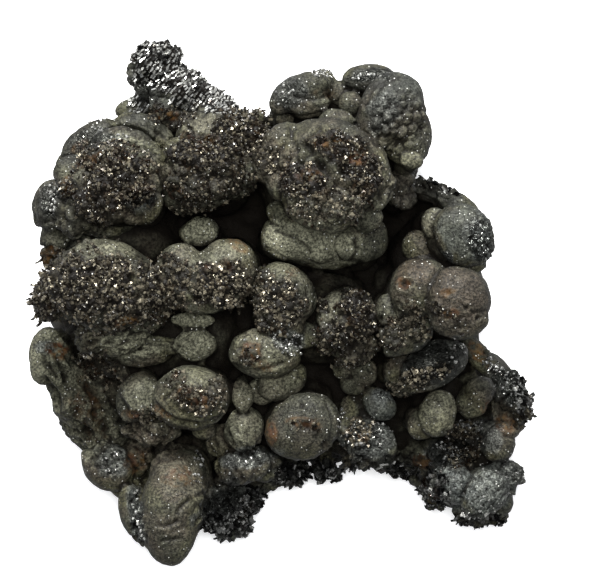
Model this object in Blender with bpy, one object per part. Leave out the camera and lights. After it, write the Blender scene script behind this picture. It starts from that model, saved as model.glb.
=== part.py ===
"""A hand-sized botryoidal goethite specimen, grown as one piece and lying on its cut back.

The crowded rounded heads stand on lumpy stalks that lean out of one thick crust. Every head is
an ellipsoid written as one line of the tables below, in millimetres: x to the right, y to the
top of the specimen, z out of the crust. The heads, their stalks and the crust are fused into
one solid, which is thinned to a light faceted mesh and sawn flat at the back.
"""

import math
from collections import namedtuple

import bmesh
import bpy
import numpy as np
from mathutils import Matrix, Vector

MM = 0.001

# Driving dimensions, in millimetres. The heads cover about 101 by 104 mm around this middle.
PLAN_MIDDLE = (-0.2, -0.7)
FUSING_VOXEL = 0.9
SOFTENING = 0.5
SOFTENING_STEPS = 3
MOST_TRIANGLES = 10300  # before the back is sawn off, which takes about a tenth of them

# A head: centre, half length, half width, turn of the length from x in degrees, height of its tip.
Head = namedtuple("Head", "x y a b turn tip")

UPPER_LEFT = [
    Head(-38.4, 31.4, 6.8, 3.5, 42, 30),
    Head(-42.4, 27.5, 3.5, 2.6, 60, 26),
    Head(-28.8, 34.6, 5.0, 3.3, -5, 29),
    Head(-24.3, 33.0, 3.4, 2.4, -35, 27),
    Head(-31.5, 30.0, 6.4, 4.4, -3, 36),
    Head(-36.5, 29.3, 2.9, 2.2, 20, 34),
    Head(-32.3, 23.4, 8.9, 7.6, -12, 45),
    Head(-26.0, 28.4, 3.7, 2.8, -55, 40),
    Head(-41.2, 25.2, 4.1, 3.6, 20, 36),
    Head(-28.3, 19.2, 4.9, 4.1, 0, 43),
    Head(-39.8, 18.3, 6.0, 4.8, 50, 33),
    Head(-34.0, 15.8, 6.0, 3.2, 8, 28),
    Head(-46.2, 20.3, 4.6, 3.2, 62, 26),
    Head(-45.6, 17.8, 3.9, 3.0, 85, 29),
    Head(-47.9, 17.0, 2.6, 1.7, 75, 24),
    Head(-44.8, 12.8, 3.8, 3.2, 60, 27),
    Head(-41.0, 13.0, 4.0, 3.4, 0, 23),
    Head(-46.0, 8.4, 2.4, 1.4, -50, 20),
]

UPPER_MIDDLE = [
    Head(-14.2, 31.2, 6.8, 6.3, 0, 39),
    Head(-15.0, 25.4, 7.6, 6.9, 0, 43),
    Head(-9.0, 25.8, 4.4, 5.4, 0, 37),
    Head(-21.2, 29.7, 2.7, 2.0, 75, 38),
    Head(-19.8, 21.0, 3.6, 3.3, 0, 38),
    Head(-8.2, 32.8, 4.2, 4.2, 0, 35),
    Head(-5.2, 35.6, 2.4, 1.5, 45, 31),
    Head(-4.8, 33.0, 1.7, 1.4, 0, 30),
]

CREST = [
    Head(-24.8, 47.6, 4.5, 3.9, 20, 27),
    Head(-22.6, 43.0, 6.0, 4.6, -30, 26),
    Head(-16.6, 41.2, 7.6, 3.0, -37, 23),
    Head(-11.6, 38.4, 4.4, 1.9, -40, 20),
    Head(-29.3, 46.2, 1.7, 1.4, 10, 24),
    Head(-30.2, 38.4, 2.9, 1.7, 15, 20),
    Head(-27.0, 40.0, 2.4, 2.2, 0, 20),
    Head(-23.8, 39.0, 2.7, 1.9, -15, 26),
    Head(-21.0, 36.6, 4.5, 2.7, -10, 24),
]

TOP_HEAD = [
    Head(10.6, 26.6, 11.9, 9.2, -22, 50),
    Head(8.2, 20.9, 8.5, 7.3, -20, 52),
    Head(-1.2, 27.2, 4.8, 3.8, 75, 45),
    Head(1.2, 31.6, 4.4, 3.7, 20, 46),
    Head(1.0, 23.2, 3.8, 3.8, 0, 46),
    Head(19.2, 22.0, 3.0, 4.6, -10, 45),
    Head(17.4, 15.9, 3.3, 2.8, 45, 44),
    Head(6.0, 32.8, 4.6, 3.1, 8, 46),
    Head(14.0, 30.4, 5.4, 4.0, -30, 48),
    Head(8.6, 12.6, 12.2, 6.3, -3, 36),
    Head(0.8, 11.6, 4.9, 3.7, -25, 38),
    Head(2.2, 16.2, 5.6, 3.2, -30, 38),
    Head(17.0, 12.2, 4.6, 5.0, 0, 36),
    Head(13.2, 10.6, 2.1, 3.1, 10, 38),
    Head(7.8, 10.4, 2.6, 3.4, -10, 38),
    Head(16.9, 9.6, 1.9, 2.3, 0, 37),
    Head(11.2, 36.0, 3.7, 2.3, -5, 36),
]

TOP_RIGHT = [
    Head(4.2, 41.6, 6.6, 3.7, 20, 32),
    Head(6.2, 39.2, 4.4, 2.2, 10, 34),
    Head(6.2, 43.1, 3.9, 2.6, 8, 35),
    Head(0.0, 39.6, 2.3, 2.7, 0, 31),
    Head(9.0, 44.8, 2.4, 1.4, -32, 28),
    Head(0.9, 36.3, 2.0, 1.6, 0, 27),
    Head(12.5, 41.4, 3.4, 2.5, 0, 29),
    Head(14.0, 39.4, 2.7, 2.5, 0, 32),
    Head(17.8, 44.3, 5.5, 2.9, 4, 31),
    Head(22.2, 37.6, 8.1, 6.6, 65, 41),
    Head(25.4, 31.0, 4.5, 4.6, 0, 39),
    Head(27.7, 33.4, 2.8, 4.6, 0, 37),
    Head(26.2, 27.8, 2.5, 1.9, 0, 40),
    Head(24.3, 22.4, 2.8, 4.2, 0, 30),
]

RIGHT = [
    Head(36.6, 13.0, 6.9, 5.8, -50, 38),
    Head(30.8, 15.5, 3.3, 2.8, 80, 33),
    Head(35.6, 19.2, 4.7, 2.3, -28, 30),
    Head(30.2, 22.3, 4.0, 1.7, -24, 24),
    Head(28.6, 10.4, 4.2, 3.5, -20, 27),
    Head(39.2, 7.6, 2.2, 2.2, 0, 32),
    Head(35.4, 0.2, 6.6, 6.5, 0, 46),
    Head(35.6, -3.4, 5.9, 4.4, 0, 45),
    Head(27.8, 2.5, 6.2, 5.8, 30, 43),
    Head(21.7, -2.0, 2.6, 3.4, 0, 38),
    Head(25.2, -7.0, 5.7, 3.8, 15, 39),
    Head(22.9, -9.8, 2.6, 1.7, 10, 37),
]

MIDDLE = [
    Head(13.0, -3.8, 5.9, 6.1, 0, 39),
    Head(15.4, -2.4, 3.8, 4.0, 0, 41),
    Head(14.8, -9.4, 4.2, 3.3, 20, 36),
    Head(9.4, -7.6, 2.8, 2.6, 0, 36),
    Head(1.2, 1.4, 6.7, 5.5, -45, 42),
    Head(0.4, -4.4, 4.7, 4.0, 0, 41),
    Head(4.8, -7.0, 3.0, 2.8, 0, 37),
    Head(-10.3, 6.4, 5.9, 6.1, 0, 44),
    Head(-20.0, 6.0, 4.9, 5.3, 0, 43),
    Head(-14.6, 2.7, 7.4, 5.5, 5, 45),
    Head(-16.2, 13.6, 4.1, 3.1, 5, 31),
    Head(-3.1, -10.6, 7.4, 4.9, -6, 41),
    Head(0.3, -16.2, 5.1, 4.0, 20, 35),
    Head(-3.2, -17.8, 3.4, 2.9, 20, 31),
]

LEFT = [
    Head(-34.6, 3.0, 10.9, 9.0, -8, 47),
    Head(-25.4, 1.4, 3.3, 5.0, 0, 40),
    Head(-44.2, 0.6, 4.4, 5.2, 0, 37),
    Head(-33.4, -6.8, 7.6, 4.2, 3, 37),
    Head(-27.2, -3.6, 3.9, 3.2, 10, 39),
    Head(-17.4, -4.0, 4.6, 1.8, 0, 33),
    Head(-17.0, -8.9, 4.4, 3.3, 0, 34),
    Head(-26.6, -10.3, 6.6, 2.9, 12, 32),
    Head(-32.2, -13.8, 2.9, 2.0, -50, 30),
    Head(-17.6, -19.5, 7.7, 6.5, 0, 42),
    Head(-28.0, -19.5, 4.5, 5.2, 0, 34),
    Head(-25.4, -26.0, 5.6, 2.8, -5, 31),
    Head(-15.0, -26.0, 2.5, 1.8, 0, 32),
]

LEFT_SLOPE = [
    Head(-46.5, -11.7, 3.9, 6.4, 0, 25),
    Head(-42.0, -18.6, 8.6, 4.6, -62, 23),
    Head(-40.2, -25.0, 5.8, 2.7, -58, 18),
    Head(-36.6, -19.0, 5.8, 8.6, 15, 22),
    Head(-34.0, -26.0, 6.0, 5.2, -30, 20),
    Head(-29.5, -31.5, 3.6, 4.2, 20, 20),
    Head(-34.6, -33.7, 5.7, 4.4, -38, 24),
    Head(-31.2, -37.4, 4.6, 2.9, -45, 20),
    Head(-36.4, -13.0, 4.8, 3.8, 0, 21),
]

LOWER_MIDDLE = [
    Head(-20.4, -36.0, 5.6, 6.6, 0, 33),
    Head(-21.8, -42.8, 6.1, 10.3, -4, 37),
    Head(-29.6, -42.4, 3.0, 5.4, 12, 25),
    Head(-28.0, -46.8, 2.0, 2.8, 30, 20),
    Head(4.7, -25.2, 7.7, 6.5, 30, 41),
    Head(-7.6, -19.2, 2.2, 3.5, 5, 32),
    Head(-7.3, -25.8, 4.0, 4.6, 0, 31),
    Head(-11.6, -28.0, 3.0, 3.5, 0, 27),
    Head(-7.2, -33.0, 6.0, 3.6, 10, 28),
    Head(-2.6, -33.6, 3.6, 3.0, 0, 24),
    Head(-14.0, -40.0, 1.5, 2.9, -5, 23),
    Head(-10.6, -39.0, 2.9, 3.1, 0, 21),
    Head(-10.8, -43.4, 4.6, 4.4, 20, 14),
    Head(-6.3, -40.6, 3.4, 2.2, 55, 13),
    Head(3.3, -35.2, 2.4, 2.8, 0, 12),
    Head(9.4, -34.2, 2.4, 2.9, 25, 13),
    Head(14.2, -32.6, 1.6, 1.6, 0, 12),
    Head(-1.4, -37.2, 2.2, 1.5, 30, 12),
]

LOWER_RIGHT = [
    Head(12.5, -14.4, 2.2, 1.5, -10, 28),
    Head(16.9, -14.5, 2.5, 2.9, -30, 29),
    Head(14.6, -17.0, 2.6, 2.3, 0, 28),
    Head(16.6, -18.4, 1.6, 1.9, 0, 26),
    Head(19.6, -20.9, 3.8, 2.9, -35, 28),
    Head(14.6, -22.6, 2.8, 3.9, 10, 26),
    Head(15.6, -26.2, 4.6, 3.4, 0, 27),
    Head(18.4, -29.4, 5.0, 4.7, 0, 29),
    Head(31.0, -12.6, 7.2, 4.4, 25, 35),
    Head(24.6, -14.4, 4.0, 4.0, 0, 31),
    Head(29.6, -16.2, 5.6, 2.2, 20, 33),
    Head(31.6, -22.8, 3.8, 4.9, -15, 31),
    Head(28.4, -25.0, 2.9, 3.2, 0, 28),
    Head(40.2, -18.2, 3.0, 3.0, 0, 29),
    Head(38.5, -21.2, 3.2, 2.9, 20, 28),
    Head(39.6, -11.2, 4.9, 2.4, -52, 22),
    Head(45.2, -17.6, 4.9, 3.4, -40, 23),
    Head(46.2, -21.4, 4.0, 4.0, 0, 19),
    Head(45.4, -25.0, 2.6, 3.0, 0, 17),
    Head(43.8, -28.8, 3.4, 3.9, 0, 24),
    Head(34.0, -31.0, 4.6, 2.7, 0, 19),
    Head(38.2, -27.6, 3.6, 3.3, 0, 18),
    Head(34.8, -36.8, 3.8, 4.3, 15, 26),
    Head(31.5, -38.6, 1.9, 4.3, 5, 16),
    Head(41.0, -39.0, 5.4, 4.2, 48, 27),
    Head(46.2, -35.8, 2.8, 3.6, 0, 22),
    Head(43.8, -40.8, 3.3, 3.3, 0, 19),
    Head(38.6, -43.0, 4.0, 2.5, -10, 18),
    Head(43.0, -43.6, 3.2, 2.0, 0, 16),
    Head(24.0, -32.5, 3.2, 2.4, 0, 14),
    Head(28.6, -31.4, 2.2, 2.2, 0, 15),
]

HEADS = [
    *UPPER_LEFT,
    *UPPER_MIDDLE,
    *CREST,
    *TOP_HEAD,
    *TOP_RIGHT,
    *RIGHT,
    *MIDDLE,
    *LEFT,
    *LEFT_SLOPE,
    *LOWER_MIDDLE,
    *LOWER_RIGHT,
]

# The crust under the heads: flattened mounds whose rims curl up off the sawn back.
CRUST = [
    Head(-33, 22, 12.5, 10.5, 10, 15),
    Head(-15, 31, 12.5, 8.5, 0, 15),
    Head(8, 30, 14, 12, 0, 17),
    Head(23, 32, 6, 9, 0, 15),
    Head(30, 13, 10, 9, -30, 14),
    Head(-34, -1, 13, 12, 0, 15),
    Head(-12, 8, 14, 13, 0, 13),
    Head(10, 6, 14, 13, 0, 13),
    Head(30, -6, 10.5, 11, 0, 15),
    Head(-34, -21, 11, 12, 20, 14),
    Head(-12, -17, 14, 14, 0, 14),
    Head(8, -17, 13, 13, 0, 14),
    Head(26, -21, 12, 9.5, 0, 14),
    Head(40.6, -18.6, 7.2, 8.8, 0, 13),
    Head(-21, -38, 8.5, 10, 0, 14),
    Head(-8, -33, 8, 7.5, 0, 13),
    Head(14, -27, 8.5, 6, 0, 13),
    Head(39, -34, 7.5, 8.5, 0, 13),
    Head(-22, 43, 6, 5, -20, 13),
    Head(-22, 12, 10, 8, 0, 14),
    Head(-2, 20, 13, 9, 0, 15),
    Head(18, 20, 9, 9, 0, 15),
    Head(-23, -8, 10, 9, 0, 15),
    Head(0, -6, 13, 9, 0, 15),
    Head(21, -8, 9, 9, 0, 15),
    Head(-24, -28, 8, 8, 0, 14),
    Head(20, 1, 9, 8, 0, 15),
    Head(37, -26, 8, 7, 0, 13),
    Head(-1, -26, 9, 8, 0, 14),
    Head(34.4, 2.6, 6.6, 8.6, 0, 15),
    Head(16, 38, 9, 6, 0, 14),
]

# The core: the solid mass that fills the growth between the stalks.
CORE = [
    Head(-31, 12, 13, 15, 0, 26),
    Head(-14, 25, 11, 8, 0, 26),
    Head(8, 24, 13, 13, 0, 30),
    Head(30, 6, 9, 12, 0, 28),
    Head(22, 33, 5, 6, 0, 24),
    Head(6, -4, 15, 12, 0, 29),
    Head(-18, -6, 13, 15, 0, 28),
    Head(-30, -12, 10, 12, 0, 22),
    Head(3, -21, 11, 9, 0, 26),
    Head(-21, -33, 6, 10, 0, 24),
    Head(28, -14, 10, 8, 0, 24),
    Head(38, -30, 5, 8, 0, 17),
    Head(-23, 40, 5, 5, 0, 18),
]

ROUNDNESS = 0.85  # a head's half height over its smaller half width
STALK_TOP = 0.8  # width of a stalk's highest lump, over its head's own width
STALK_END = 1.05  # the same for its lowest lump
STALK_FOOT = 5.0  # height of the lowest lump's middle, inside the crust
SHORTEST_STALK = 4.0
THINNEST_STALK = 2.0  # the least half width that a stalk's lumps are worked out from
LUMP_SPACING = 1.7  # distance from lump to lump, at most, over the stalk's half width
LUMP_OVERLAP = 0.78  # a lump's half height over the distance from lump to lump
SIDE_STEP = 0.18  # how far a lump stands aside from its stalk's line, over the half width
GOLDEN_ANGLE = math.radians(137.5)
LEAN = 0.86  # how far out a stalk's foot lies, over its head's own distance
CORE_HALF_HEIGHT = 18.0
CRUST_HALF_HEIGHT = 9.5
BALL_SUBDIVISIONS = 3


def ellipsoid_matrix(head, half_height):
    """Turns a unit ball into the head's ellipsoid."""
    centre = Matrix.Translation((head.x, head.y, head.tip - half_height))
    turn = Matrix.Rotation(math.radians(head.turn), 4, "Z")
    size = Matrix.Diagonal((head.a, head.b, half_height, 1))
    return centre @ turn @ size


def stalk_lumps(head, half_height, first_turn):
    """The lumps stacked under a head, leaning inwards down to the crust."""
    top = Vector((head.x, head.y, head.tip - half_height))
    foot = Vector((head.x * LEAN, head.y * LEAN, STALK_FOOT))
    if top.z < STALK_FOOT + SHORTEST_STALK:
        return []
    long = max(THINNEST_STALK, head.a)
    wide = max(THINNEST_STALK, head.b)
    count = math.ceil((top - foot).length / (LUMP_SPACING * min(long, wide)))
    spacing = (top - foot).length / count
    lumps = []
    for step in range(1, count + 1):
        share = step / count
        angle = (first_turn + step) * GOLDEN_ANGLE
        aside = SIDE_STEP * min(long, wide)
        place = top.lerp(foot, share) + Vector((math.cos(angle), math.sin(angle), 0)) * aside
        growth = STALK_TOP + (STALK_END - STALK_TOP) * share
        half = LUMP_OVERLAP * spacing
        lump = Head(place.x, place.y, long * growth, wide * growth, head.turn, place.z + half)
        lumps.append(ellipsoid_matrix(lump, half))
    return lumps


def growth_shapes():
    """The matrix of every ellipsoid: heads, stalks, core and crust."""
    shapes = []
    for number, head in enumerate(HEADS):
        half_height = ROUNDNESS * min(head.a, head.b)
        shapes.append(ellipsoid_matrix(head, half_height))
        shapes += stalk_lumps(head, half_height, number)
    shapes += [ellipsoid_matrix(mound, CORE_HALF_HEIGHT) for mound in CORE]
    shapes += [ellipsoid_matrix(mound, CRUST_HALF_HEIGHT) for mound in CRUST]
    return shapes


def unit_ball():
    """The points and triangles of a ball of radius 1."""
    bm = bmesh.new()
    bmesh.ops.create_icosphere(bm, subdivisions=BALL_SUBDIVISIONS, radius=1)
    points = np.array([v.co for v in bm.verts])
    triangles = np.array([[v.index for v in f.verts] for f in bm.faces])
    bm.free()
    return points, triangles


def overlapping_growth():
    """Every ellipsoid as a closed ball of its own, all in one mesh, with the origin in place."""
    points, triangles = unit_ball()
    to_origin = Matrix.Scale(MM, 4) @ Matrix.Translation((-PLAN_MIDDLE[0], -PLAN_MIDDLE[1], 0))
    balls = []
    sides = []
    for number, shape in enumerate(growth_shapes()):
        placed = to_origin @ shape
        balls.append(points @ np.array(placed.to_3x3()).T + np.array(placed.translation))
        sides.append(triangles + number * len(points))
    mesh = bpy.data.meshes.new("growth")
    mesh.from_pydata(np.concatenate(balls), [], np.concatenate(sides))
    return mesh


def evaluated_mesh(obj):
    bpy.context.view_layer.update()
    graph = bpy.context.evaluated_depsgraph_get()
    return bpy.data.meshes.new_from_object(obj.evaluated_get(graph))


def fused_and_thinned(mesh):
    """One closed surface around the overlapping shapes, with its triangles brought down."""
    growth = bpy.data.objects.new("growth", mesh)
    bpy.context.collection.objects.link(growth)
    remesh = growth.modifiers.new("fuse", "REMESH")
    remesh.mode = "VOXEL"
    remesh.voxel_size = FUSING_VOXEL * MM
    soften = growth.modifiers.new("soften", "SMOOTH")
    soften.factor = SOFTENING
    soften.iterations = SOFTENING_STEPS
    triangles = 2 * len(evaluated_mesh(growth).polygons)
    thin = growth.modifiers.new("thin", "DECIMATE")
    thin.ratio = MOST_TRIANGLES / triangles
    fused = evaluated_mesh(growth)
    bpy.data.objects.remove(growth)
    return fused


def connected_faces(face):
    """Every face that can be reached from this one across shared edges."""
    reached = {face}
    waiting = [face]
    while waiting:
        for edge in waiting.pop().edges:
            for neighbour in edge.link_faces:
                if neighbour not in reached:
                    reached.add(neighbour)
                    waiting.append(neighbour)
    return reached


def keep_largest_body(bm):
    """Drops the specks that thinning leaves beside the one large surface."""
    left = set(bm.faces)
    largest = set()
    while left:
        body = connected_faces(next(iter(left)))
        left -= body
        largest = max(largest, body, key=len)
    specks = [f for f in bm.faces if f not in largest]
    bmesh.ops.delete(bm, geom=specks, context="FACES")


def sawn_flat(mesh):
    """The back sawn off at height 0 and closed with one flat face."""
    bm = bmesh.new()
    bm.from_mesh(mesh)
    keep_largest_body(bm)
    cut = bmesh.ops.bisect_plane(
        bm,
        geom=bm.verts[:] + bm.edges[:] + bm.faces[:],
        dist=1e-7,
        plane_co=(0, 0, 0),
        plane_no=(0, 0, 1),
        clear_inner=True,
    )
    rim = [e for e in cut["geom_cut"] if isinstance(e, bmesh.types.BMEdge)]
    bmesh.ops.triangle_fill(bm, edges=rim, use_beauty=True, normal=(0, 0, -1))
    bmesh.ops.recalc_face_normals(bm, faces=bm.faces)
    bm.to_mesh(mesh)
    bm.free()
    return mesh


def goethite_material():
    """Dark olive grey with a dull metallic sheen."""
    material = bpy.data.materials.new("goethite")
    material.use_nodes = True
    shader = material.node_tree.nodes["Principled BSDF"]
    shader.inputs["Base Color"].default_value = (0.06, 0.058, 0.05, 1)
    shader.inputs["Roughness"].default_value = 0.5
    shader.inputs["Metallic"].default_value = 0.4
    return material


def main():
    for obj in list(bpy.data.objects):
        bpy.data.objects.remove(obj)
    mesh = sawn_flat(fused_and_thinned(overlapping_growth()))
    mesh.name = "goethite_growth"
    mesh.materials.clear()
    mesh.materials.append(goethite_material())
    specimen = bpy.data.objects.new("goethite_growth", mesh)
    bpy.context.collection.objects.link(specimen)


main()
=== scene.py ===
"""The looks of the goethite specimen: rounded heads on lumpy stalks, gritty crystals and facets.

The heads, stalks, core and crust stand where the solid has them, from the same tables in
millimetres. Heads of one region are fused into one closed piece, and its surface is then
carved with dents, folds, grooves and warts. The crystals are joined copies of small faceted
grains, scattered over the patches where the specimen has them.
"""

import math
from collections import namedtuple

import bmesh
import bpy
import numpy as np
from mathutils import Matrix, Vector, noise


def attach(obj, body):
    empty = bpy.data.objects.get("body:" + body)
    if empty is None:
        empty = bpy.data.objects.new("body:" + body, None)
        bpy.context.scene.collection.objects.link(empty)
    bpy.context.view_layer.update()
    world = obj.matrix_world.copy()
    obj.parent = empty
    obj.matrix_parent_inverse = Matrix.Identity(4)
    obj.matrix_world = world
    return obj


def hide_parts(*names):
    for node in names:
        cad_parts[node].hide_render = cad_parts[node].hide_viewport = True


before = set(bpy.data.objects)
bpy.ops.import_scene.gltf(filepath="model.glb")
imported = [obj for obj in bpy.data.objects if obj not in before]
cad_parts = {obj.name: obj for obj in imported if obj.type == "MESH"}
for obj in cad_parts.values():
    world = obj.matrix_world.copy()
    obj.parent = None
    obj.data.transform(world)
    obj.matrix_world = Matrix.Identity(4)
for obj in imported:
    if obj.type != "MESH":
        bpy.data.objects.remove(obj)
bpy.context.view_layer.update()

MM = 0.001
PLAN_MIDDLE = (-0.2, -0.7)  # the point of the tables, in millimetres, that is over the origin

# A head: centre, half length, half width, turn of the length from x in degrees, height of its tip.
Head = namedtuple("Head", "x y a b turn tip")


def table(kind, *rows):
    """The rows as a list of that kind."""
    return [kind(*row) for row in rows]


UPPER_LEFT = table(
    Head,
    (-38.4, 31.4, 6.8, 3.5, 42, 30), (-42.4, 27.5, 3.5, 2.6, 60, 26), (-28.8, 34.6, 5, 3.3, -5, 29),
    (-24.3, 33, 3.4, 2.4, -35, 27), (-31.5, 30, 6.4, 4.4, -3, 36), (-36.5, 29.3, 2.9, 2.2, 20, 34),
    (-32.3, 23.4, 8.9, 7.6, -12, 45), (-26, 28.4, 3.7, 2.8, -55, 40), (-41.2, 25.2, 4.1, 3.6, 20, 36),
    (-28.3, 19.2, 4.9, 4.1, 0, 43), (-39.8, 18.3, 6, 4.8, 50, 33), (-34, 15.8, 6, 3.2, 8, 28),
    (-46.2, 20.3, 4.6, 3.2, 62, 26), (-45.6, 17.8, 3.9, 3, 85, 29), (-47.9, 17, 2.6, 1.7, 75, 24),
    (-44.8, 12.8, 3.8, 3.2, 60, 27), (-41, 13, 4, 3.4, 0, 23), (-46, 8.4, 2.4, 1.4, -50, 20),
)

UPPER_MIDDLE = table(
    Head,
    (-14.2, 31.2, 6.8, 6.3, 0, 39), (-15, 25.4, 7.6, 6.9, 0, 43), (-9, 25.8, 4.4, 5.4, 0, 37),
    (-21.2, 29.7, 2.7, 2, 75, 38), (-19.8, 21, 3.6, 3.3, 0, 38), (-8.2, 32.8, 4.2, 4.2, 0, 35),
    (-5.2, 35.6, 2.4, 1.5, 45, 31), (-4.8, 33, 1.7, 1.4, 0, 30),
)

CREST = table(
    Head,
    (-24.8, 47.6, 4.5, 3.9, 20, 27), (-22.6, 43, 6, 4.6, -30, 26), (-16.6, 41.2, 7.6, 3, -37, 23),
    (-11.6, 38.4, 4.4, 1.9, -40, 20), (-29.3, 46.2, 1.7, 1.4, 10, 24), (-30.2, 38.4, 2.9, 1.7, 15, 20),
    (-27, 40, 2.4, 2.2, 0, 20), (-23.8, 39, 2.7, 1.9, -15, 26), (-21, 36.6, 4.5, 2.7, -10, 24),
)

TOP_HEAD = table(
    Head,
    (10.6, 26.6, 11.9, 9.2, -22, 50), (8.2, 20.9, 8.5, 7.3, -20, 52), (-1.2, 27.2, 4.8, 3.8, 75, 45),
    (1.2, 31.6, 4.4, 3.7, 20, 46), (1, 23.2, 3.8, 3.8, 0, 46), (19.2, 22, 3, 4.6, -10, 45),
    (17.4, 15.9, 3.3, 2.8, 45, 44), (6, 32.8, 4.6, 3.1, 8, 46), (14, 30.4, 5.4, 4, -30, 48),
    (8.6, 12.6, 12.2, 6.3, -3, 36), (0.8, 11.6, 4.9, 3.7, -25, 38), (2.2, 16.2, 5.6, 3.2, -30, 38),
    (17, 12.2, 4.6, 5, 0, 36), (13.2, 10.6, 2.1, 3.1, 10, 38), (7.8, 10.4, 2.6, 3.4, -10, 38),
    (16.9, 9.6, 1.9, 2.3, 0, 37), (11.2, 36, 3.7, 2.3, -5, 36),
)

TOP_RIGHT = table(
    Head,
    (4.2, 41.6, 6.6, 3.7, 20, 32), (6.2, 39.2, 4.4, 2.2, 10, 34), (6.2, 43.1, 3.9, 2.6, 8, 35),
    (0, 39.6, 2.3, 2.7, 0, 31), (9, 44.8, 2.4, 1.4, -32, 28), (0.9, 36.3, 2, 1.6, 0, 27),
    (12.5, 41.4, 3.4, 2.5, 0, 29), (14, 39.4, 2.7, 2.5, 0, 32), (17.8, 44.3, 5.5, 2.9, 4, 31),
    (22.2, 37.6, 8.1, 6.6, 65, 41), (25.4, 31, 4.5, 4.6, 0, 39), (27.7, 33.4, 2.8, 4.6, 0, 37),
    (26.2, 27.8, 2.5, 1.9, 0, 40), (24.3, 22.4, 2.8, 4.2, 0, 30),
)

RIGHT = table(
    Head,
    (36.6, 13, 6.9, 5.8, -50, 38), (30.8, 15.5, 3.3, 2.8, 80, 33), (35.6, 19.2, 4.7, 2.3, -28, 30),
    (30.2, 22.3, 4, 1.7, -24, 24), (28.6, 10.4, 4.2, 3.5, -20, 27), (39.2, 7.6, 2.2, 2.2, 0, 32),
    (35.4, 0.2, 6.6, 6.5, 0, 46), (35.6, -3.4, 5.9, 4.4, 0, 45), (27.8, 2.5, 6.2, 5.8, 30, 43),
    (21.7, -2, 2.6, 3.4, 0, 38), (25.2, -7, 5.7, 3.8, 15, 39), (22.9, -9.8, 2.6, 1.7, 10, 37),
)

MIDDLE = table(
    Head,
    (13, -3.8, 5.9, 6.1, 0, 39), (15.4, -2.4, 3.8, 4, 0, 41), (14.8, -9.4, 4.2, 3.3, 20, 36),
    (9.4, -7.6, 2.8, 2.6, 0, 36), (1.2, 1.4, 6.7, 5.5, -45, 42), (0.4, -4.4, 4.7, 4, 0, 41),
    (4.8, -7, 3, 2.8, 0, 37), (-10.3, 6.4, 5.9, 6.1, 0, 44), (-20, 6, 4.9, 5.3, 0, 43),
    (-14.6, 2.7, 7.4, 5.5, 5, 45), (-16.2, 13.6, 4.1, 3.1, 5, 31), (-3.1, -10.6, 7.4, 4.9, -6, 41),
    (0.3, -16.2, 5.1, 4, 20, 35), (-3.2, -17.8, 3.4, 2.9, 20, 31),
)

LEFT = table(
    Head,
    (-34.6, 3, 10.9, 9, -8, 47), (-25.4, 1.4, 3.3, 5, 0, 40), (-44.2, 0.6, 4.4, 5.2, 0, 37),
    (-33.4, -6.8, 7.6, 4.2, 3, 37), (-27.2, -3.6, 3.9, 3.2, 10, 39), (-17.4, -4, 4.6, 1.8, 0, 33),
    (-17, -8.9, 4.4, 3.3, 0, 34), (-26.6, -10.3, 6.6, 2.9, 12, 32), (-32.2, -13.8, 2.9, 2, -50, 30),
    (-17.6, -19.5, 7.7, 6.5, 0, 42), (-28, -19.5, 4.5, 5.2, 0, 34), (-25.4, -26, 5.6, 2.8, -5, 31),
    (-15, -26, 2.5, 1.8, 0, 32),
)

LEFT_SLOPE = table(
    Head,
    (-46.5, -11.7, 3.9, 6.4, 0, 25), (-42, -18.6, 8.6, 4.6, -62, 23), (-40.2, -25, 5.8, 2.7, -58, 18),
    (-36.6, -19, 5.8, 8.6, 15, 22), (-34, -26, 6, 5.2, -30, 20), (-29.5, -31.5, 3.6, 4.2, 20, 20),
    (-34.6, -33.7, 5.7, 4.4, -38, 24), (-31.2, -37.4, 4.6, 2.9, -45, 20), (-36.4, -13, 4.8, 3.8, 0, 21),
)

LOWER_MIDDLE = table(
    Head,
    (-20.4, -36, 5.6, 6.6, 0, 33), (-21.8, -42.8, 6.1, 10.3, -4, 37), (-29.6, -42.4, 3, 5.4, 12, 25),
    (-28, -46.8, 2, 2.8, 30, 20), (4.7, -25.2, 7.7, 6.5, 30, 41), (-7.6, -19.2, 2.2, 3.5, 5, 32),
    (-7.3, -25.8, 4, 4.6, 0, 31), (-11.6, -28, 3, 3.5, 0, 27), (-7.2, -33, 6, 3.6, 10, 28),
    (-2.6, -33.6, 3.6, 3, 0, 24), (-14, -40, 1.5, 2.9, -5, 23), (-10.6, -39, 2.9, 3.1, 0, 21),
    (-10.8, -43.4, 4.6, 4.4, 20, 14), (-6.3, -40.6, 3.4, 2.2, 55, 13), (3.3, -35.2, 2.4, 2.8, 0, 12),
    (9.4, -34.2, 2.4, 2.9, 25, 13), (14.2, -32.6, 1.6, 1.6, 0, 12), (-1.4, -37.2, 2.2, 1.5, 30, 12),
)

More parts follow.
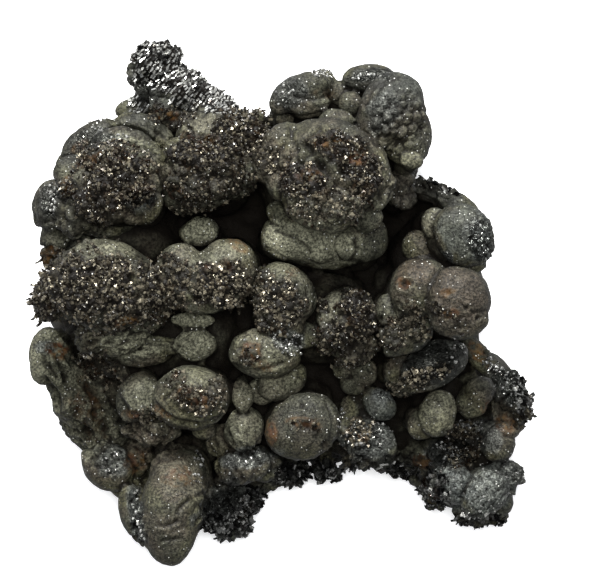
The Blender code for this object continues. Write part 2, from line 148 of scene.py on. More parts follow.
LOWER_RIGHT = table(
    Head,
    (12.5, -14.4, 2.2, 1.5, -10, 28), (16.9, -14.5, 2.5, 2.9, -30, 29), (14.6, -17, 2.6, 2.3, 0, 28),
    (16.6, -18.4, 1.6, 1.9, 0, 26), (19.6, -20.9, 3.8, 2.9, -35, 28), (14.6, -22.6, 2.8, 3.9, 10, 26),
    (15.6, -26.2, 4.6, 3.4, 0, 27), (18.4, -29.4, 5, 4.7, 0, 29), (31, -12.6, 7.2, 4.4, 25, 35),
    (24.6, -14.4, 4, 4, 0, 31), (29.6, -16.2, 5.6, 2.2, 20, 33), (31.6, -22.8, 3.8, 4.9, -15, 31),
    (28.4, -25, 2.9, 3.2, 0, 28), (40.2, -18.2, 3, 3, 0, 29), (38.5, -21.2, 3.2, 2.9, 20, 28),
    (39.6, -11.2, 4.9, 2.4, -52, 22), (45.2, -17.6, 4.9, 3.4, -40, 23), (46.2, -21.4, 4, 4, 0, 19),
    (45.4, -25, 2.6, 3, 0, 17), (43.8, -28.8, 3.4, 3.9, 0, 24), (34, -31, 4.6, 2.7, 0, 19),
    (38.2, -27.6, 3.6, 3.3, 0, 18), (34.8, -36.8, 3.8, 4.3, 15, 26), (31.5, -38.6, 1.9, 4.3, 5, 16),
    (41, -39, 5.4, 4.2, 48, 27), (46.2, -35.8, 2.8, 3.6, 0, 22), (43.8, -40.8, 3.3, 3.3, 0, 19),
    (38.6, -43, 4, 2.5, -10, 18), (43, -43.6, 3.2, 2, 0, 16), (24, -32.5, 3.2, 2.4, 0, 14),
    (28.6, -31.4, 2.2, 2.2, 0, 15),
)

HEADS = UPPER_LEFT + UPPER_MIDDLE + CREST + TOP_HEAD + TOP_RIGHT + RIGHT
HEADS += MIDDLE + LEFT + LEFT_SLOPE + LOWER_MIDDLE + LOWER_RIGHT

# The crust under the heads: flattened mounds whose rims curl up off the sawn back.
CRUST = table(
    Head,
    (-33, 22, 12.5, 10.5, 10, 15), (-15, 31, 12.5, 8.5, 0, 15), (8, 30, 14, 12, 0, 17),
    (23, 32, 6, 9, 0, 15), (30, 13, 10, 9, -30, 14), (-34, -1, 13, 12, 0, 15), (-12, 8, 14, 13, 0, 13),
    (10, 6, 14, 13, 0, 13), (30, -6, 10.5, 11, 0, 15), (-34, -21, 11, 12, 20, 14),
    (-12, -17, 14, 14, 0, 14), (8, -17, 13, 13, 0, 14), (26, -21, 12, 9.5, 0, 14),
    (40.6, -18.6, 7.2, 8.8, 0, 13), (-21, -38, 8.5, 10, 0, 14), (-8, -33, 8, 7.5, 0, 13),
    (14, -27, 8.5, 6, 0, 13), (39, -34, 7.5, 8.5, 0, 13), (-22, 43, 6, 5, -20, 13), (-22, 12, 10, 8, 0, 14),
    (-2, 20, 13, 9, 0, 15), (18, 20, 9, 9, 0, 15), (-23, -8, 10, 9, 0, 15), (0, -6, 13, 9, 0, 15),
    (21, -8, 9, 9, 0, 15), (-24, -28, 8, 8, 0, 14), (20, 1, 9, 8, 0, 15), (37, -26, 8, 7, 0, 13),
    (-1, -26, 9, 8, 0, 14), (34.4, 2.6, 6.6, 8.6, 0, 15), (16, 38, 9, 6, 0, 14),
)

# The core: the solid mass that fills the growth between the stalks.
CORE = table(
    Head,
    (-31, 12, 13, 15, 0, 26), (-14, 25, 11, 8, 0, 26), (8, 24, 13, 13, 0, 30), (30, 6, 9, 12, 0, 28),
    (22, 33, 5, 6, 0, 24), (6, -4, 15, 12, 0, 29), (-18, -6, 13, 15, 0, 28), (-30, -12, 10, 12, 0, 22),
    (3, -21, 11, 9, 0, 26), (-21, -33, 6, 10, 0, 24), (28, -14, 10, 8, 0, 24), (38, -30, 5, 8, 0, 17),
    (-23, 40, 5, 5, 0, 18),
)

ROUNDNESS = 0.85  # a head's half height over its smaller half width
STALK_TOP = 0.8  # width of a stalk's highest lump, over its head's own width
STALK_END = 1.05  # the same for its lowest lump
STALK_FOOT = 5.0  # height of the lowest lump's middle, inside the crust
SHORTEST_STALK = 4.0
THINNEST_STALK = 2.0  # the least half width that a stalk's lumps are worked out from
LUMP_SPACING = 1.7  # distance from lump to lump, at most, over the stalk's half width
LUMP_OVERLAP = 0.78  # a lump's half height over the distance from lump to lump
SIDE_STEP = 0.18  # how far a lump stands aside from its stalk's line, over the half width
GOLDEN_ANGLE = math.radians(137.5)
LEAN = 0.86  # how far out a stalk's foot lies, over its head's own distance
CORE_HALF_HEIGHT = 18.0
CRUST_HALF_HEIGHT = 9.5

HEAD_VOXEL = 0.38  # the fineness of the surface that closes round the heads
STALK_VOXEL = 0.85
HEAD_SUBDIVISIONS = 4  # of the ball that each head starts from
STALK_SUBDIVISIONS = 3
SOFTENING = (0.5, 4)  # how far and how often the fused surface is softened
SMALLEST_BODY = 2.0  # cubic millimetres: anything smaller is a speck and is left out

# A patch of the surface, seen from above: centre, half length, half width, turn in degrees,
# the lowest height that it reaches down to, and how strong it is.
Patch = namedtuple("Patch", "x y a b turn low strength")

# Where gritty dark crystals cover the heads.
DRUSE = table(
    Patch,
    (-32.4, 24.6, 8, 6, -8, 28, 1), (-36.8, 18.4, 3.6, 4.4, 20, 27, 0.8),
    (-27.8, 21.2, 3.4, 2.6, 0, 38, 0.45), (-41.8, 22.6, 1.8, 1.8, 0, 28, 0.8),
    (-15, 28.8, 6.2, 4.3, 0, 30, 1), (-18, 22, 5, 5, 10, 26, 0.75), (-9.6, 23.4, 4.8, 3.4, 10, 28, 0.5),
    (-8.2, 33.6, 5, 4.6, -40, 22, 1), (-21.6, 36.8, 4.8, 1.9, -12, 20, 0.8),
    (4.8, 24.1, 5.2, 4.1, 10, 40, 1), (11.4, 29.8, 5.6, 3.2, -12, 40, 1), (16.2, 24.8, 4.2, 5, 20, 40, 1),
    (8.8, 18.8, 6.9, 3.4, 0, 38, 0.7), (12.6, 20.6, 4, 2.6, 20, 38, 0.7), (-2.2, 28.2, 2.6, 4, 30, 33, 0.7),
    (-35.6, 2.4, 11.6, 7.4, -3, 24, 1), (-27.4, 0.8, 5, 5.6, 10, 24, 1), (-46.2, 0.8, 4, 5.2, 0, 18, 1),
    (-12.9, 3.2, 7, 4.3, 5, 26, 1), (-19.6, 2.8, 4.2, 4, 0, 26, 0.9), (-21.4, 7, 2.4, 2.2, -20, 34, 0.8),
    (-0.2, -0.8, 4.9, 5.2, -30, 28, 0.95), (-3.2, 4.4, 2.2, 2, -40, 30, 0.8),
    (15.2, -2.2, 3.6, 4.4, 0, 28, 1), (12.2, -7.4, 5.4, 3.4, 0, 26, 0.85), (9, -1.4, 1.1, 1.3, 0, 30, 0.9),
    (13.8, -11, 4.4, 2.6, 10, 24, 0.6), (26.2, -3.4, 2.8, 2.6, -20, 34, 0.8),
    (31, -1.6, 1.1, 1.6, 30, 38, 0.7), (34, -3.8, 4.6, 1.8, -30, 36, 0.4),
    (22.6, -6.6, 2.8, 3.2, 0, 28, 0.7), (27.2, -7, 2.6, 1.8, 0, 30, 0.6),
    (27.4, -15.8, 6.4, 1.7, 22, 24, 0.8), (-16.2, -20, 5, 2.8, -22, 34, 0.85),
    (-20.9, -16.4, 2.6, 1.7, 30, 34, 0.6), (-12.6, -17.2, 1.4, 2.4, 0, 34, 0.45),
    (-5.4, -11, 2.6, 2, 20, 34, 0.55), (5.4, -25.2, 2.8, 1.6, -20, 36, 0.5),
    (-36.8, -13.6, 5.2, 3.2, -35, 6, 0.7), (15.5, -26.8, 3, 3, 0, 20, 0.7),
    (36.5, -29.4, 3.8, 4.2, 0, 6, 0.8), (-26.4, -22.8, 3.8, 1.6, 0, 28, 0.6),
)

# Bare grooves and rims inside the gritty areas.
BARE = table(
    Patch,
    (10, 25.2, 7, 1.6, -46, 30, 1), (4.2, 28.4, 2.8, 1.9, 20, 30, 1), (-1, 22.4, 1, 4.6, 0, 30, 0.9),
    (-24.2, 22, 1, 5, 0, 26, 0.8), (-28.6, 3, 0.8, 5.6, 12, 20, 0.8), (-17.4, 3.4, 0.8, 4.4, -12, 20, 0.6),
)

# Where bright scales stand in rows.
SCALES = table(
    Patch,
    (-24.2, 47.8, 5.4, 4.8, 10, 12, 1), (-19.8, 43.4, 7, 4.2, -40, 12, 1),
    (-14, 40.2, 7.4, 2.8, -38, 10, 1), (-28.6, 39.2, 2.2, 1.6, 0, 12, 0.7),
)

# Where the growth has scattered bright facets.
SHINE = table(
    Patch,
    (40.6, 11.6, 1.8, 4, 12, 24, 0.05), (34, -36.6, 3.6, 4, 0, 14, 0.04),
    (41.4, -38.6, 5.8, 3.6, 48, 14, 0.04), (46, -36, 2.6, 3, 0, 12, 0.06),
    (-34.2, -32.2, 2.8, 2.2, -30, 14, 0.2), (15.8, -27.2, 2.4, 2.2, 0, 20, 0.3),
    (20.4, -27, 1.8, 2.6, 0, 20, 0.15), (1.8, -8.2, 3, 2.4, -40, 34, 0.3), (-6, -7.8, 1.8, 1.2, 0, 34, 0.3),
    (46.4, -17, 3.6, 2.4, -30, 12, 0.3), (42.6, -13, 1.7, 1.5, 0, 12, 0.6),
    (48, -21.6, 1.8, 2.6, 0, 8, 0.2), (35.4, -10.6, 2, 2.6, -10, 26, 0.25),
    (-7.4, -32.6, 5, 1.8, 10, 20, 0.12), (-10.6, -45, 3.8, 2.2, 0, 4, 0.4),
    (-6.4, -42, 1.6, 3.2, -20, 4, 0.4), (-16.6, -33.6, 1.2, 3, 0, 20, 0.2),
    (38.2, -25.6, 2.8, 1, 0, 8, 0.6), (33.6, -30.6, 2.8, 1.6, 0, 8, 0.6), (1, 41, 1.8, 2, 30, 22, 0.4),
    (12.4, -24.6, 1.4, 2.6, 0, 14, 0.25), (30, -40, 1.8, 3, 0, 4, 0.2),
    (-36.8, 34.4, 2.6, 1.8, 42, 20, 0.25), (-45.6, 20.6, 1.4, 3.2, 0, 18, 0.25),
    (-31.8, 32.2, 2.6, 0.8, 0, 30, 0.3), (8.8, 45.6, 2.4, 1, 0, 22, 0.5),
)

# Where the skin is smooth and glossy, with hard highlights.
GLOSS = table(
    Patch,
    (40.2, 12, 2.8, 5, 12, 24, 1), (31.2, -12, 6.8, 3.6, 25, 24, 0.9), (34.4, -36.6, 4.4, 5.2, 0, 10, 0.45),
    (42, -38, 6.6, 4.6, 48, 10, 0.45), (46.4, -35.8, 3, 3.6, 0, 8, 0.7), (46.4, -17, 4.4, 3.4, -30, 8, 0.9),
    (21, -19, 2.6, 1.6, 0, 24, 0.8), (1.6, -7.8, 3.6, 2.2, -20, 34, 0.6),
    (20.4, 37.6, 3, 4.6, -20, 26, 0.5), (-34, 31.6, 3, 1.4, -5, 24, 0.7), (-38, 31, 4.2, 3.2, 42, 20, 0.7),
    (-46, 20, 2.2, 3.4, 0, 18, 0.8), (18, 45, 4.6, 1.4, 5, 20, 0.9), (2, 41.6, 3.2, 3.4, 30, 18, 0.6),
    (-28.2, 21, 3, 2.4, 0, 38, 0.9), (17, -28, 5, 4, 0, 18, 0.7), (42, -27, 3, 4, 0, 6, 0.5),
    (-28.6, -43.6, 1.6, 6, 8, 8, 0.9), (-47, -9.4, 2, 1.4, 0, 14, 0.7), (-9.6, -42.4, 6.6, 6, 20, -5, 0.8),
    (6, -35.6, 8, 3.4, 0, -5, 0.7), (-6, -31.6, 6, 2, 8, 18, 0.7), (33, 8.2, 1.6, 1.4, 0, 30, 0.9),
    (-26.6, 43.4, 2.6, 4.4, 20, 10, 0.6), (-33.8, -32.2, 3.4, 3, -30, 8, 0.6), (34, -31, 5, 3, 0, 4, 0.9),
)

# Where iron hydroxide stains the surface brown, yellow or orange.
RUST = table(
    Patch,
    (-44.6, -10.2, 2.2, 1.5, -20, 14, 1), (-22.6, 37.2, 2.4, 1, -10, 18, 0.8),
    (-8.6, 11, 2.4, 1.2, -30, 36, 0.55), (9.2, 30.8, 2.6, 1.4, 0, 40, 0.6),
    (15, 28.4, 2.2, 1.4, -40, 40, 0.8), (6.2, 24.2, 2.4, 1.2, 0, 44, 0.4),
    (24.6, 3.2, 1.4, 1.2, 0, 36, 0.8), (33.2, 1.4, 1.6, 0.8, 20, 38, 0.5),
    (34.2, -2.6, 1.4, 0.9, 0, 38, 0.6), (-5.8, -9.9, 2.4, 1.8, -30, 34, 0.7),
    (-3.6, -13, 3, 1.2, -20, 30, 0.35), (-1.6, -26.2, 1.3, 2.6, 10, 28, 0.7),
    (4.8, -24.4, 3.4, 1.2, -10, 36, 0.45), (40, -10.8, 2.8, 1.4, -45, 10, 0.9),
    (45.2, -25, 1.8, 2, 0, 8, 0.7), (41.2, -21.8, 1.6, 1, 40, 18, 0.7),
    (-29.6, -22.8, 2.4, 0.9, -10, 26, 0.7), (-17.4, -19.2, 3.6, 1.6, -20, 36, 0.5),
    (-24.4, -22, 3, 0.7, -30, 34, 0.5), (-29, -32.6, 2.2, 2.4, 0, 10, 0.6),
    (-20.2, -35.4, 3.2, 2, 0, 28, 0.5), (-46.6, 8.2, 1.8, 2.4, -50, 10, 0.8),
    (-42, 22.8, 1.4, 1.8, 0, 26, 0.5), (-36.4, 27.6, 2.4, 1.4, 0, 30, 0.5),
    (-40, 30.6, 2, 1.2, 30, 20, 0.3), (-18, 32.4, 1.8, 1, 0, 34, 0.4), (-14.4, 31.6, 2, 1, 0, 34, 0.4),
    (-12, 6.4, 3, 1, 0, 36, 0.35), (-30.6, -3.6, 1.8, 1.2, 0, 28, 0.7), (-38.6, -21.6, 3, 6, 20, 8, 0.35),
    (2.4, 5.6, 1.6, 1, 0, 34, 0.4), (28.4, -32.6, 1.6, 1.6, 0, 4, 0.6), (31.4, -39.4, 1.8, 2, 0, 4, 0.4),
    (9, 41.2, 2.2, 1, 0, 24, 0.2),
)

# Heads and sides drawn a paler olive than the rest: partly their own paler colour, partly painted light on
# low heads that lie in shade.
PALE_AND_LIT = table(
    Patch,
    (-31.5, 30.6, 5.4, 2.6, -3, 30, 0.8), (-14.6, 34.6, 5.2, 2.2, 0, 28, 0.4),
    (-37, 10.4, 8.6, 3, 0, 24, 0.7), (-41.2, 25.4, 2.4, 2.4, 0, 28, 0.6), (-16.2, 13.8, 3.4, 2.8, 0, 16, 1),
    (-13.6, 9.4, 8.2, 3, 0, 34, 0.5), (20, 22, 2.4, 6.6, 0, 34, 0.3), (8.6, 17.6, 6.8, 3, 0, 34, 0.5),
    (6.4, 11.6, 9, 5, -8, 20, 1), (1.8, 5.4, 4.2, 2.2, -10, 30, 0.6), (9.6, -1, 2.4, 4.2, 0, 28, 0.4),
    (-3.1, -8.8, 6.8, 4, -8, 30, 0.4), (-18.6, -15.4, 6.6, 2.6, 0, 30, 0.4),
    (26.2, 28, 3.2, 3.4, 0, 20, 0.4), (-46.4, -12.6, 4.4, 7.4, 8, 4, 1),
    (-40.4, -22.4, 6.4, 10.4, 28, 2, 0.8), (-20, -35.6, 4.6, 3.6, 0, 20, 0.35),
    (35, -36.8, 4.4, 5, 0, 8, 0.7), (41.8, -38.6, 6, 4.4, 48, 8, 0.6), (-28.2, -19.4, 4.4, 4.6, 0, 16, 0.4),
    (-1.6, -17, 6, 4, 10, 16, 0.4), (-7.4, -24, 4, 6, 0, 14, 0.5), (30.6, 15.4, 3.4, 3.4, 0, 16, 0.4),
    (31.8, -22.8, 4.4, 5, -15, 12, 0.35), (-17, -6.6, 5.4, 6, 0, 14, 1), (-30, -8.8, 6, 3, 0, 14, 0.8),
)

# Heads that are bluish grey.
BLUISH = table(
    Patch,
    (31, -12.4, 6.6, 4.4, 20, 22, 0.8), (34.6, -36.8, 4.6, 5.4, 0, 8, 1), (42.2, -38.2, 6.6, 5, 48, 8, 0.8),
    (19.6, -26, 5, 8, 0, 14, 0.6), (36.8, 13.4, 5.2, 6.4, 10, 22, 0.6), (24, 42, 6, 5, 0, 22, 0.5),
    (-28.2, 20.6, 3.6, 3, 0, 36, 0.6), (-24, 44, 10, 8, 0, 8, 0.4),
)

# Heads that are darker than the rest.
DARK = table(
    Patch,
    (-38.6, 31.2, 6.6, 4, 42, 14, 0.8), (-28.2, 34.8, 5.4, 3.2, -5, 14, 0.5),
    (-46.4, 18.6, 3.6, 5.8, 0, 8, 0.8), (-44.6, 12.4, 4.4, 3.8, 0, 6, 0.6),
    (-38, 16.6, 6.4, 4.6, 30, 12, 0.5), (-26.6, 43.4, 3, 5, 20, 6, 0.8), (18, 44, 5.8, 3.2, 4, 12, 0.8),
    (1.6, 41, 4.8, 4.2, 20, 12, 0.6), (22.6, 37.4, 8.4, 8, -20, 18, 0.35), (35.6, 0.6, 7.4, 7, 0, 24, 0.35),
    (31.4, 22, 5.4, 2.8, -24, 6, 0.8), (10, 33, 11, 4.6, -8, 34, 0.25), (26.4, 22, 5, 4.4, 0, 6, 0.6),
    (40.4, 11.6, 3.4, 5.4, 12, 18, 0.25), (31.2, -12.2, 7.4, 4.4, 25, 18, 0.9),
    (45.6, -17.6, 5.4, 4.4, -30, 4, 0.7), (4.7, -25.2, 8, 6.8, 30, 24, 0.35),
    (-21.6, -42.8, 6.6, 10.6, -5, 16, 0.25), (-9, -41, 7, 6.6, 0, 1, 0.7), (36, -30, 6.6, 4.4, 0, 1, 0.8),
    (46.4, -35, 3, 5, 0, 4, 0.4), (17.4, -28.4, 5.6, 5, 0, 10, 0.4), (6, -35.6, 8, 3.4, 0, -5, 0.8),
    (23, -33.6, 7, 3, 0, -5, 0.8),
)

# Where the gritty crystals are lighter.
LIGHT_GRIT = table(
    Patch,
    (27.4, -15.8, 6.8, 2.4, 22, 18, 1), (-2.2, 28.4, 3.2, 4.6, 30, 30, 0.9),
    (9, 17.4, 7.6, 3.4, 0, 32, 0.9), (-35, 2, 13, 8.6, 0, 16, 0.7), (-14, 2.6, 9, 5.6, 0, 22, 0.95),
    (-0.6, 0.4, 5.6, 6.4, 0, 24, 0.8), (26.4, -3.4, 4, 4, 0, 30, 0.75), (16, -27, 5, 4, 0, 14, 0.8),
    (-16.4, -20, 6, 4, 0, 30, 0.7),
)

# Heads and slopes that are brownish.
BROWNISH = table(
    Patch,
    (35.4, 0.8, 6, 6, 0, 30, 0.9), (27.2, 5.6, 4, 3, 0, 30, 0.7), (-20.4, -36, 4.6, 4.2, 0, 18, 0.9),
    (-46, -14, 3.4, 6, 10, 8, 0.5), (-39.6, -24, 6, 9, 25, 4, 0.4), (24.4, 22.4, 3.4, 3.2, 0, 24, 0.8),
    (22.6, 35.6, 5.6, 6, -20, 22, 0.4), (-26, -30, 5, 5, 0, 6, 0.5), (46, -20, 5, 8, 0, 4, 0.6),
    (-33, 21, 9, 9, 0, 26, 0.3),
)

# Deep gaps between the heads, where the skin is painted near black as shade.
SHADED_HOLLOWS = table(
    Patch,
    (0, 0, 47, 36, 0, -9, 0.75), (0, -22, 40, 14, 0, -9, 0.6), (-14, 15.5, 14, 6, 0, -9, 1),
    (23.6, 14, 6, 12, 0, -9, 1), (10, -15, 10, 5, 0, -9, 0.9), (-13, -4, 8, 3, 0, -9, 0.9),
)

# Skin raised in round bumps: how far apart they are, how high they stand, and a seed.
Bumps = namedtuple("Bumps", "spacing height seed patches")

WARTS = Bumps(2.3, 1.2, 2, table(
    Patch,
    (23.6, 35.2, 5.4, 6.4, -20, 24, 1), (-28.2, 20.8, 3.6, 2.6, 0, 36, 0.7),
    (27.6, -16, 6.4, 2, 20, 22, 0.7), (46.6, -17, 4.4, 3.6, -30, 8, 0.4), (-46, 18, 2.8, 5, 0, 16, 0.5),
    (-26.6, 32, 3, 2, 0, 24, 0.3), (36, -30, 4, 4, 0, 4, 0.7), (17, -28, 5, 3.6, 0, 18, 0.4),
))

KNOBS = Bumps(4.0, 1.8, 3, table(
    Patch,
    (9.8, 25.2, 8.2, 5.6, -25, 30, 0.6), (9, 18.4, 7.4, 3.4, 0, 26, 0.9),
    (-2.4, 27.6, 3.4, 4.6, 20, 30, 0.25), (-32.4, 23, 8.6, 7.4, -8, 26, 0.7),
    (-15.6, 26, 7.6, 7, 0, 24, 0.8), (12.6, 11.4, 5.4, 4.4, 0, 24, 0.2), (-24, 46, 7.6, 6, 0, 8, 0.8),
    (-16, 41, 9, 3.6, -38, 8, 0.7), (-27.6, -29, 6, 6, 0, 4, 0.4), (-11, -41, 7, 6, 0, 2, 0.5),
    (13.4, -8, 6.4, 6.4, 0, 20, 0.6), (0.6, -0.6, 5.4, 5.6, 0, 26, 0.5), (24.8, 21.8, 4, 3.6, 0, 20, 0.7),
    (25.6, -3.4, 4.4, 4.4, 0, 26, 0.4), (-40.6, 17, 4.6, 6.6, 20, 20, 0.5), (47, -21, 4, 7.6, 0, 2, 0.8),
))

FINE_WARTS = Bumps(1.35, 0.75, 4, table(
    Patch,
    (40.2, 12, 2.8, 5.2, 12, 22, 1), (34.4, -36.6, 4, 4.6, 0, 10, 0.6),
    (41.6, -38.4, 6.2, 4.4, 48, 10, 0.6), (46.4, -35.8, 3, 3.6, 0, 8, 0.6),
    (15.8, -26.6, 4.6, 3.6, 0, 18, 0.6), (-28.2, 20.6, 3.4, 2.6, 0, 38, 0.6),
    (-34.6, -32.6, 3.8, 3.4, -30, 8, 0.7), (-46, 19, 2.6, 4.6, 0, 16, 0.6),
))

# Where the lobes run together and their creases are shallow.
MERGED = table(
    Patch,
    (9.4, 11, 10, 5.6, 0, 20, 1), (5.6, 41.8, 7, 4.4, 15, 14, 0.7), (-21.6, -40, 7, 10, 0, 14, 0.8),
    (-14.6, 5, 10, 7, 0, 28, 0.6), (-28.6, 34.4, 5.6, 3.6, 0, 14, 0.5),
)

# Thin broken rims of the crust.
RAGGED = table(
    Patch,
    (-10.6, -43.8, 6, 5.4, 20, -5, 1), (-5.6, -41, 4.4, 3.4, 55, -5, 1), (2.6, -36, 4.4, 3, 0, -5, 1),
    (9.4, -34.6, 4.4, 3.2, 0, -5, 1), (16, -33.6, 4, 2.4, 0, -5, 1), (24.6, -33.6, 5, 3, 0, -5, 1),
    (30.8, -38.6, 2.8, 5.4, 0, -5, 1), (39, -44.6, 6.6, 1.8, 0, -5, 1), (-46.4, 8.4, 3, 2.6, -50, -5, 0.8),
    (31, 23, 5, 2, -24, 10, 0.7), (44.8, -13.8, 5.6, 2.2, -45, 10, 0.8), (48.6, -20, 2.6, 6, 0, -5, 1),
    (-25, 50.2, 6.6, 3.2, 0, 10, 0.6), (-28.6, -43, 2, 7, 8, -5, 0.6), (-37.6, -27, 3.4, 8, 25, -5, 0.6),
    (48.6, -36, 1.8, 5, 0, -5, 0.6),
)

# Skin drawn out in ridges: their direction in degrees, how far apart, how high, and a seed.
Streaks = namedtuple("Streaks", "turn spacing height seed patches")

STREAKS = [
    Streaks(-60, 2.4, 1.8, 31, table(
        Patch,
        (-40.4, -20.6, 6.6, 11, 28, 3, 1), (-37, -13, 6, 4, -35, 3, 0.8), (-33.6, -24, 4, 6, 25, 3, 0.8),
    )),
    Streaks(2, 0.95, 0.75, 32, table(
        Patch,
        (-35.4, -8, 10.6, 3.4, 2, 8, 1), (-25.6, -10.6, 6.6, 2.8, 10, 12, 0.5),
    )),
    Streaks(-68, 1.3, 0.5, 33, table(
        Patch,
        (-8.6, -31.6, 6.6, 6.6, 0, 3, 1), (-27.6, -29.4, 5.6, 5, 0, 3, 0.9),
        (-26.8, 43.6, 3, 4.6, 20, 8, 0.5),
    )),
    Streaks(-72, 1.7, 1.5, 34, table(
        Patch,
        (-9.6, -42.4, 6, 5.4, 20, -5, 0.9), (3.4, -35.4, 4, 3.4, 0, -5, 0.7),
        (9.6, -34.4, 3.6, 3.4, 0, -5, 0.7), (31.4, -39, 2.6, 5.4, 0, -5, 0.6),
    )),
]

# Thin layers that lap over one another along the lower rims.
LAYERS = table(
    Patch,
    (-34.4, -8.6, 10, 4.4, 2, 10, 0.5), (-25.4, -26.2, 6, 2.6, -5, 12, 0.8),
    (17.8, 44.6, 5.6, 2.6, 4, 14, 0.3), (-28.6, 34.8, 5.4, 3.4, -5, 14, 0.5),
    (32.4, 13.6, 2, 5, 0, 24, 0.15), (-38.4, 31.4, 6.4, 3.6, 42, 14, 0.4),
)

# A groove in a head, or a ridge on it where the depth is negative: its depth and half width,
# then its points seen from above.
Groove = namedtuple("Groove", "depth width points")

GROOVES = table(
    Groove,
    (0.6, 0.45, [(2, 34.6), (2.3, 32.4), (2.9, 31), (3.6, 29.8)]),
    (0.8, 0.5, [(8, 33.8), (6.2, 32.2), (4.8, 30.4), (3, 29.4), (1.7, 27.8)]),
    (0.8, 0.5, [(1.7, 27.8), (0.7, 25), (0, 22.2), (0.4, 19.6), (1.6, 17.6)]),
    (2.4, 0.7, [(5.6, 30.6), (7, 27.4), (10.6, 24.2), (15.6, 21)]),
    (0.7, 0.5, [(17.4, 30.2), (19.6, 27.4), (20.6, 24), (20, 19.4)]),
    (0.6, 0.5, [(11.4, 23.4), (11, 21.4), (10, 20), (7.4, 19.4)]),
    (0.5, 0.4, [(14.8, 16), (15.4, 18), (17.2, 19.4), (19, 19.2)]),
    (0.5, 0.35, [(-1.4, 14.2), (1.6, 12.8), (4.6, 11.6), (6.2, 9.6)]),
    (0.25, 0.3, [(-3, 10.6), (-0.6, 9.4), (1.8, 8.2)]),
    (0.3, 0.3, [(6, 13.4), (7, 12), (7.4, 10.4), (7, 8.6)]),
    (0.5, 0.35, [(11.4, 12.6), (10.8, 11), (11.2, 9.4), (12.4, 8.2)]),
    (0.6, 0.4, [(14.9, 12.2), (15.1, 10.6), (14.8, 9), (14.2, 8.2)]),
    (0.6, 0.4, [(18.8, 39.8), (19.4, 41.6), (21.2, 43.4), (23.2, 44.4)]),
    (0.6, 0.4, [(16.8, 38.6), (17.8, 41.2), (19.6, 43.2), (21.2, 44.2)]),
    (0.3, 0.3, [(3, 41.8), (3.4, 43.6), (5, 44.8), (7.4, 45.2)]),
    (0.3, 0.3, [(2.8, 40.8), (4.8, 40), (7.4, 39.9), (9.8, 41)]),
    (0.25, 0.3, [(1.6, 39.4), (4.2, 38.4), (7.6, 38.3), (10.6, 39.4)]),
    (0.15, 0.35, [(33.6, 17.4), (32.8, 14.6), (32.8, 11.6), (33.8, 9)]),
    (0.12, 0.35, [(35.2, 17.8), (34.4, 15), (34.4, 11.8), (35.4, 8.6)]),
    (0.7, 0.4, [(-25, -20.4), (-23.4, -22.2), (-20.6, -23.9), (-16.6, -24.6)]),
    (0.5, 0.35, [(-16.6, -24.6), (-13.6, -24.2), (-11.6, -22.8)]),
    (0.5, 0.35, [(-23, -19.8), (-21.2, -18.6), (-19.8, -17)]),
    (0.5, 0.4, [(-15.8, -38.4), (-18.6, -40), (-20.4, -41.8), (-20.6, -44)]),
    (0.4, 0.35, [(-20.6, -44), (-22, -45), (-24.4, -44.9)]),
    (0.35, 0.35, [(-19.8, -47.4), (-21.6, -47.7), (-23.6, -48)]),
    (0.5, 0.4, [(-22.6, 41.4), (-24.8, 40.4), (-25.6, 38.8), (-24.6, 37.4)]),
    (0.5, 0.35, [(-18.8, 35), (-16.4, 32.8), (-13.4, 32.4), (-11.4, 34)]),
    (0.9, 0.4, [(-38.4, 29.4), (-35, 30.6), (-31, 30.9), (-27.4, 30.6), (-24.8, 28.8)]),
    (1, 0.4, [(-25.4, 31.6), (-27.4, 33.6), (-30.6, 34.7), (-34.4, 34), (-37.4, 31.4)]),
    (0.9, 0.4, [(-37.4, 31.4), (-39.2, 28.6), (-42.4, 28.6), (-45, 27.6)]),
    (0.9, 0.4, [(-28.8, 30.4), (-28, 27.4), (-25.8, 24.8), (-24.6, 21.6)]),
    (0.9, 0.4, [(-39.2, 28.4), (-38, 25.6), (-38.4, 22), (-37.4, 18.4), (-34.6, 15.8)]),
    (0.8, 0.4, [(-21.8, 32), (-19.6, 30.4), (-18.8, 27.6), (-20.6, 25.4), (-22.8, 24)]),
    (0.7, 0.4, [(-44, 22.4), (-42.8, 19), (-43, 15.4), (-41.6, 12)]),
    (0.5, 0.4, [(-26.2, 34.8), (-24.8, 33.4), (-23.2, 32.4)]),
    (0.3, 0.3, [(35.6, -0.4), (38, -2.6), (40.6, -2)]),
    (0.5, 0.35, [(23.8, -0.4), (25.4, -1.2), (28, -1)]),
    (0.4, 0.35, [(-9.2, -12.8), (-6.4, -14.2), (-2.8, -13.8), (0.6, -12.6)]),
    (0.4, 0.3, [(-1, -9), (0.4, -10.4), (2.2, -11.6)]),
    (0.4, 0.3, [(9, -20.4), (10.6, -23), (10.4, -27), (8.4, -30)]),
    (-0.9, 0.6, [(-43.6, 19.8), (-42, 17), (-39.2, 14.8), (-36.4, 14)]),
    (-0.8, 0.5, [(-41.6, 20.4), (-40.2, 17.8), (-38, 16), (-35.2, 15.4)]),
    (-0.7, 0.5, [(-38.4, 20.4), (-36.6, 17.6), (-34.4, 15.6), (-31.8, 15.2)]),
    (-0.6, 0.8, [(-46.2, -12.6), (-44.6, -18), (-41, -24.6), (-36.6, -30.4)]),
    (-0.5, 0.7, [(-43.4, -13), (-42, -17.6), (-38.6, -23.4), (-34.6, -28.6)]),
    (-0.5, 0.7, [(-40, -17.6), (-37.2, -21.4), (-34.4, -24.4), (-32, -28.6)]),
    (-0.5, 0.6, [(-48, -14), (-46.6, -18.6), (-43, -25)]),
    (-0.4, 0.6, [(-37.6, -16.8), (-34, -20.4), (-31.6, -25)]),
)

# A small round pit: centre, radius and depth.
Pit = namedtuple("Pit", "x y radius depth")

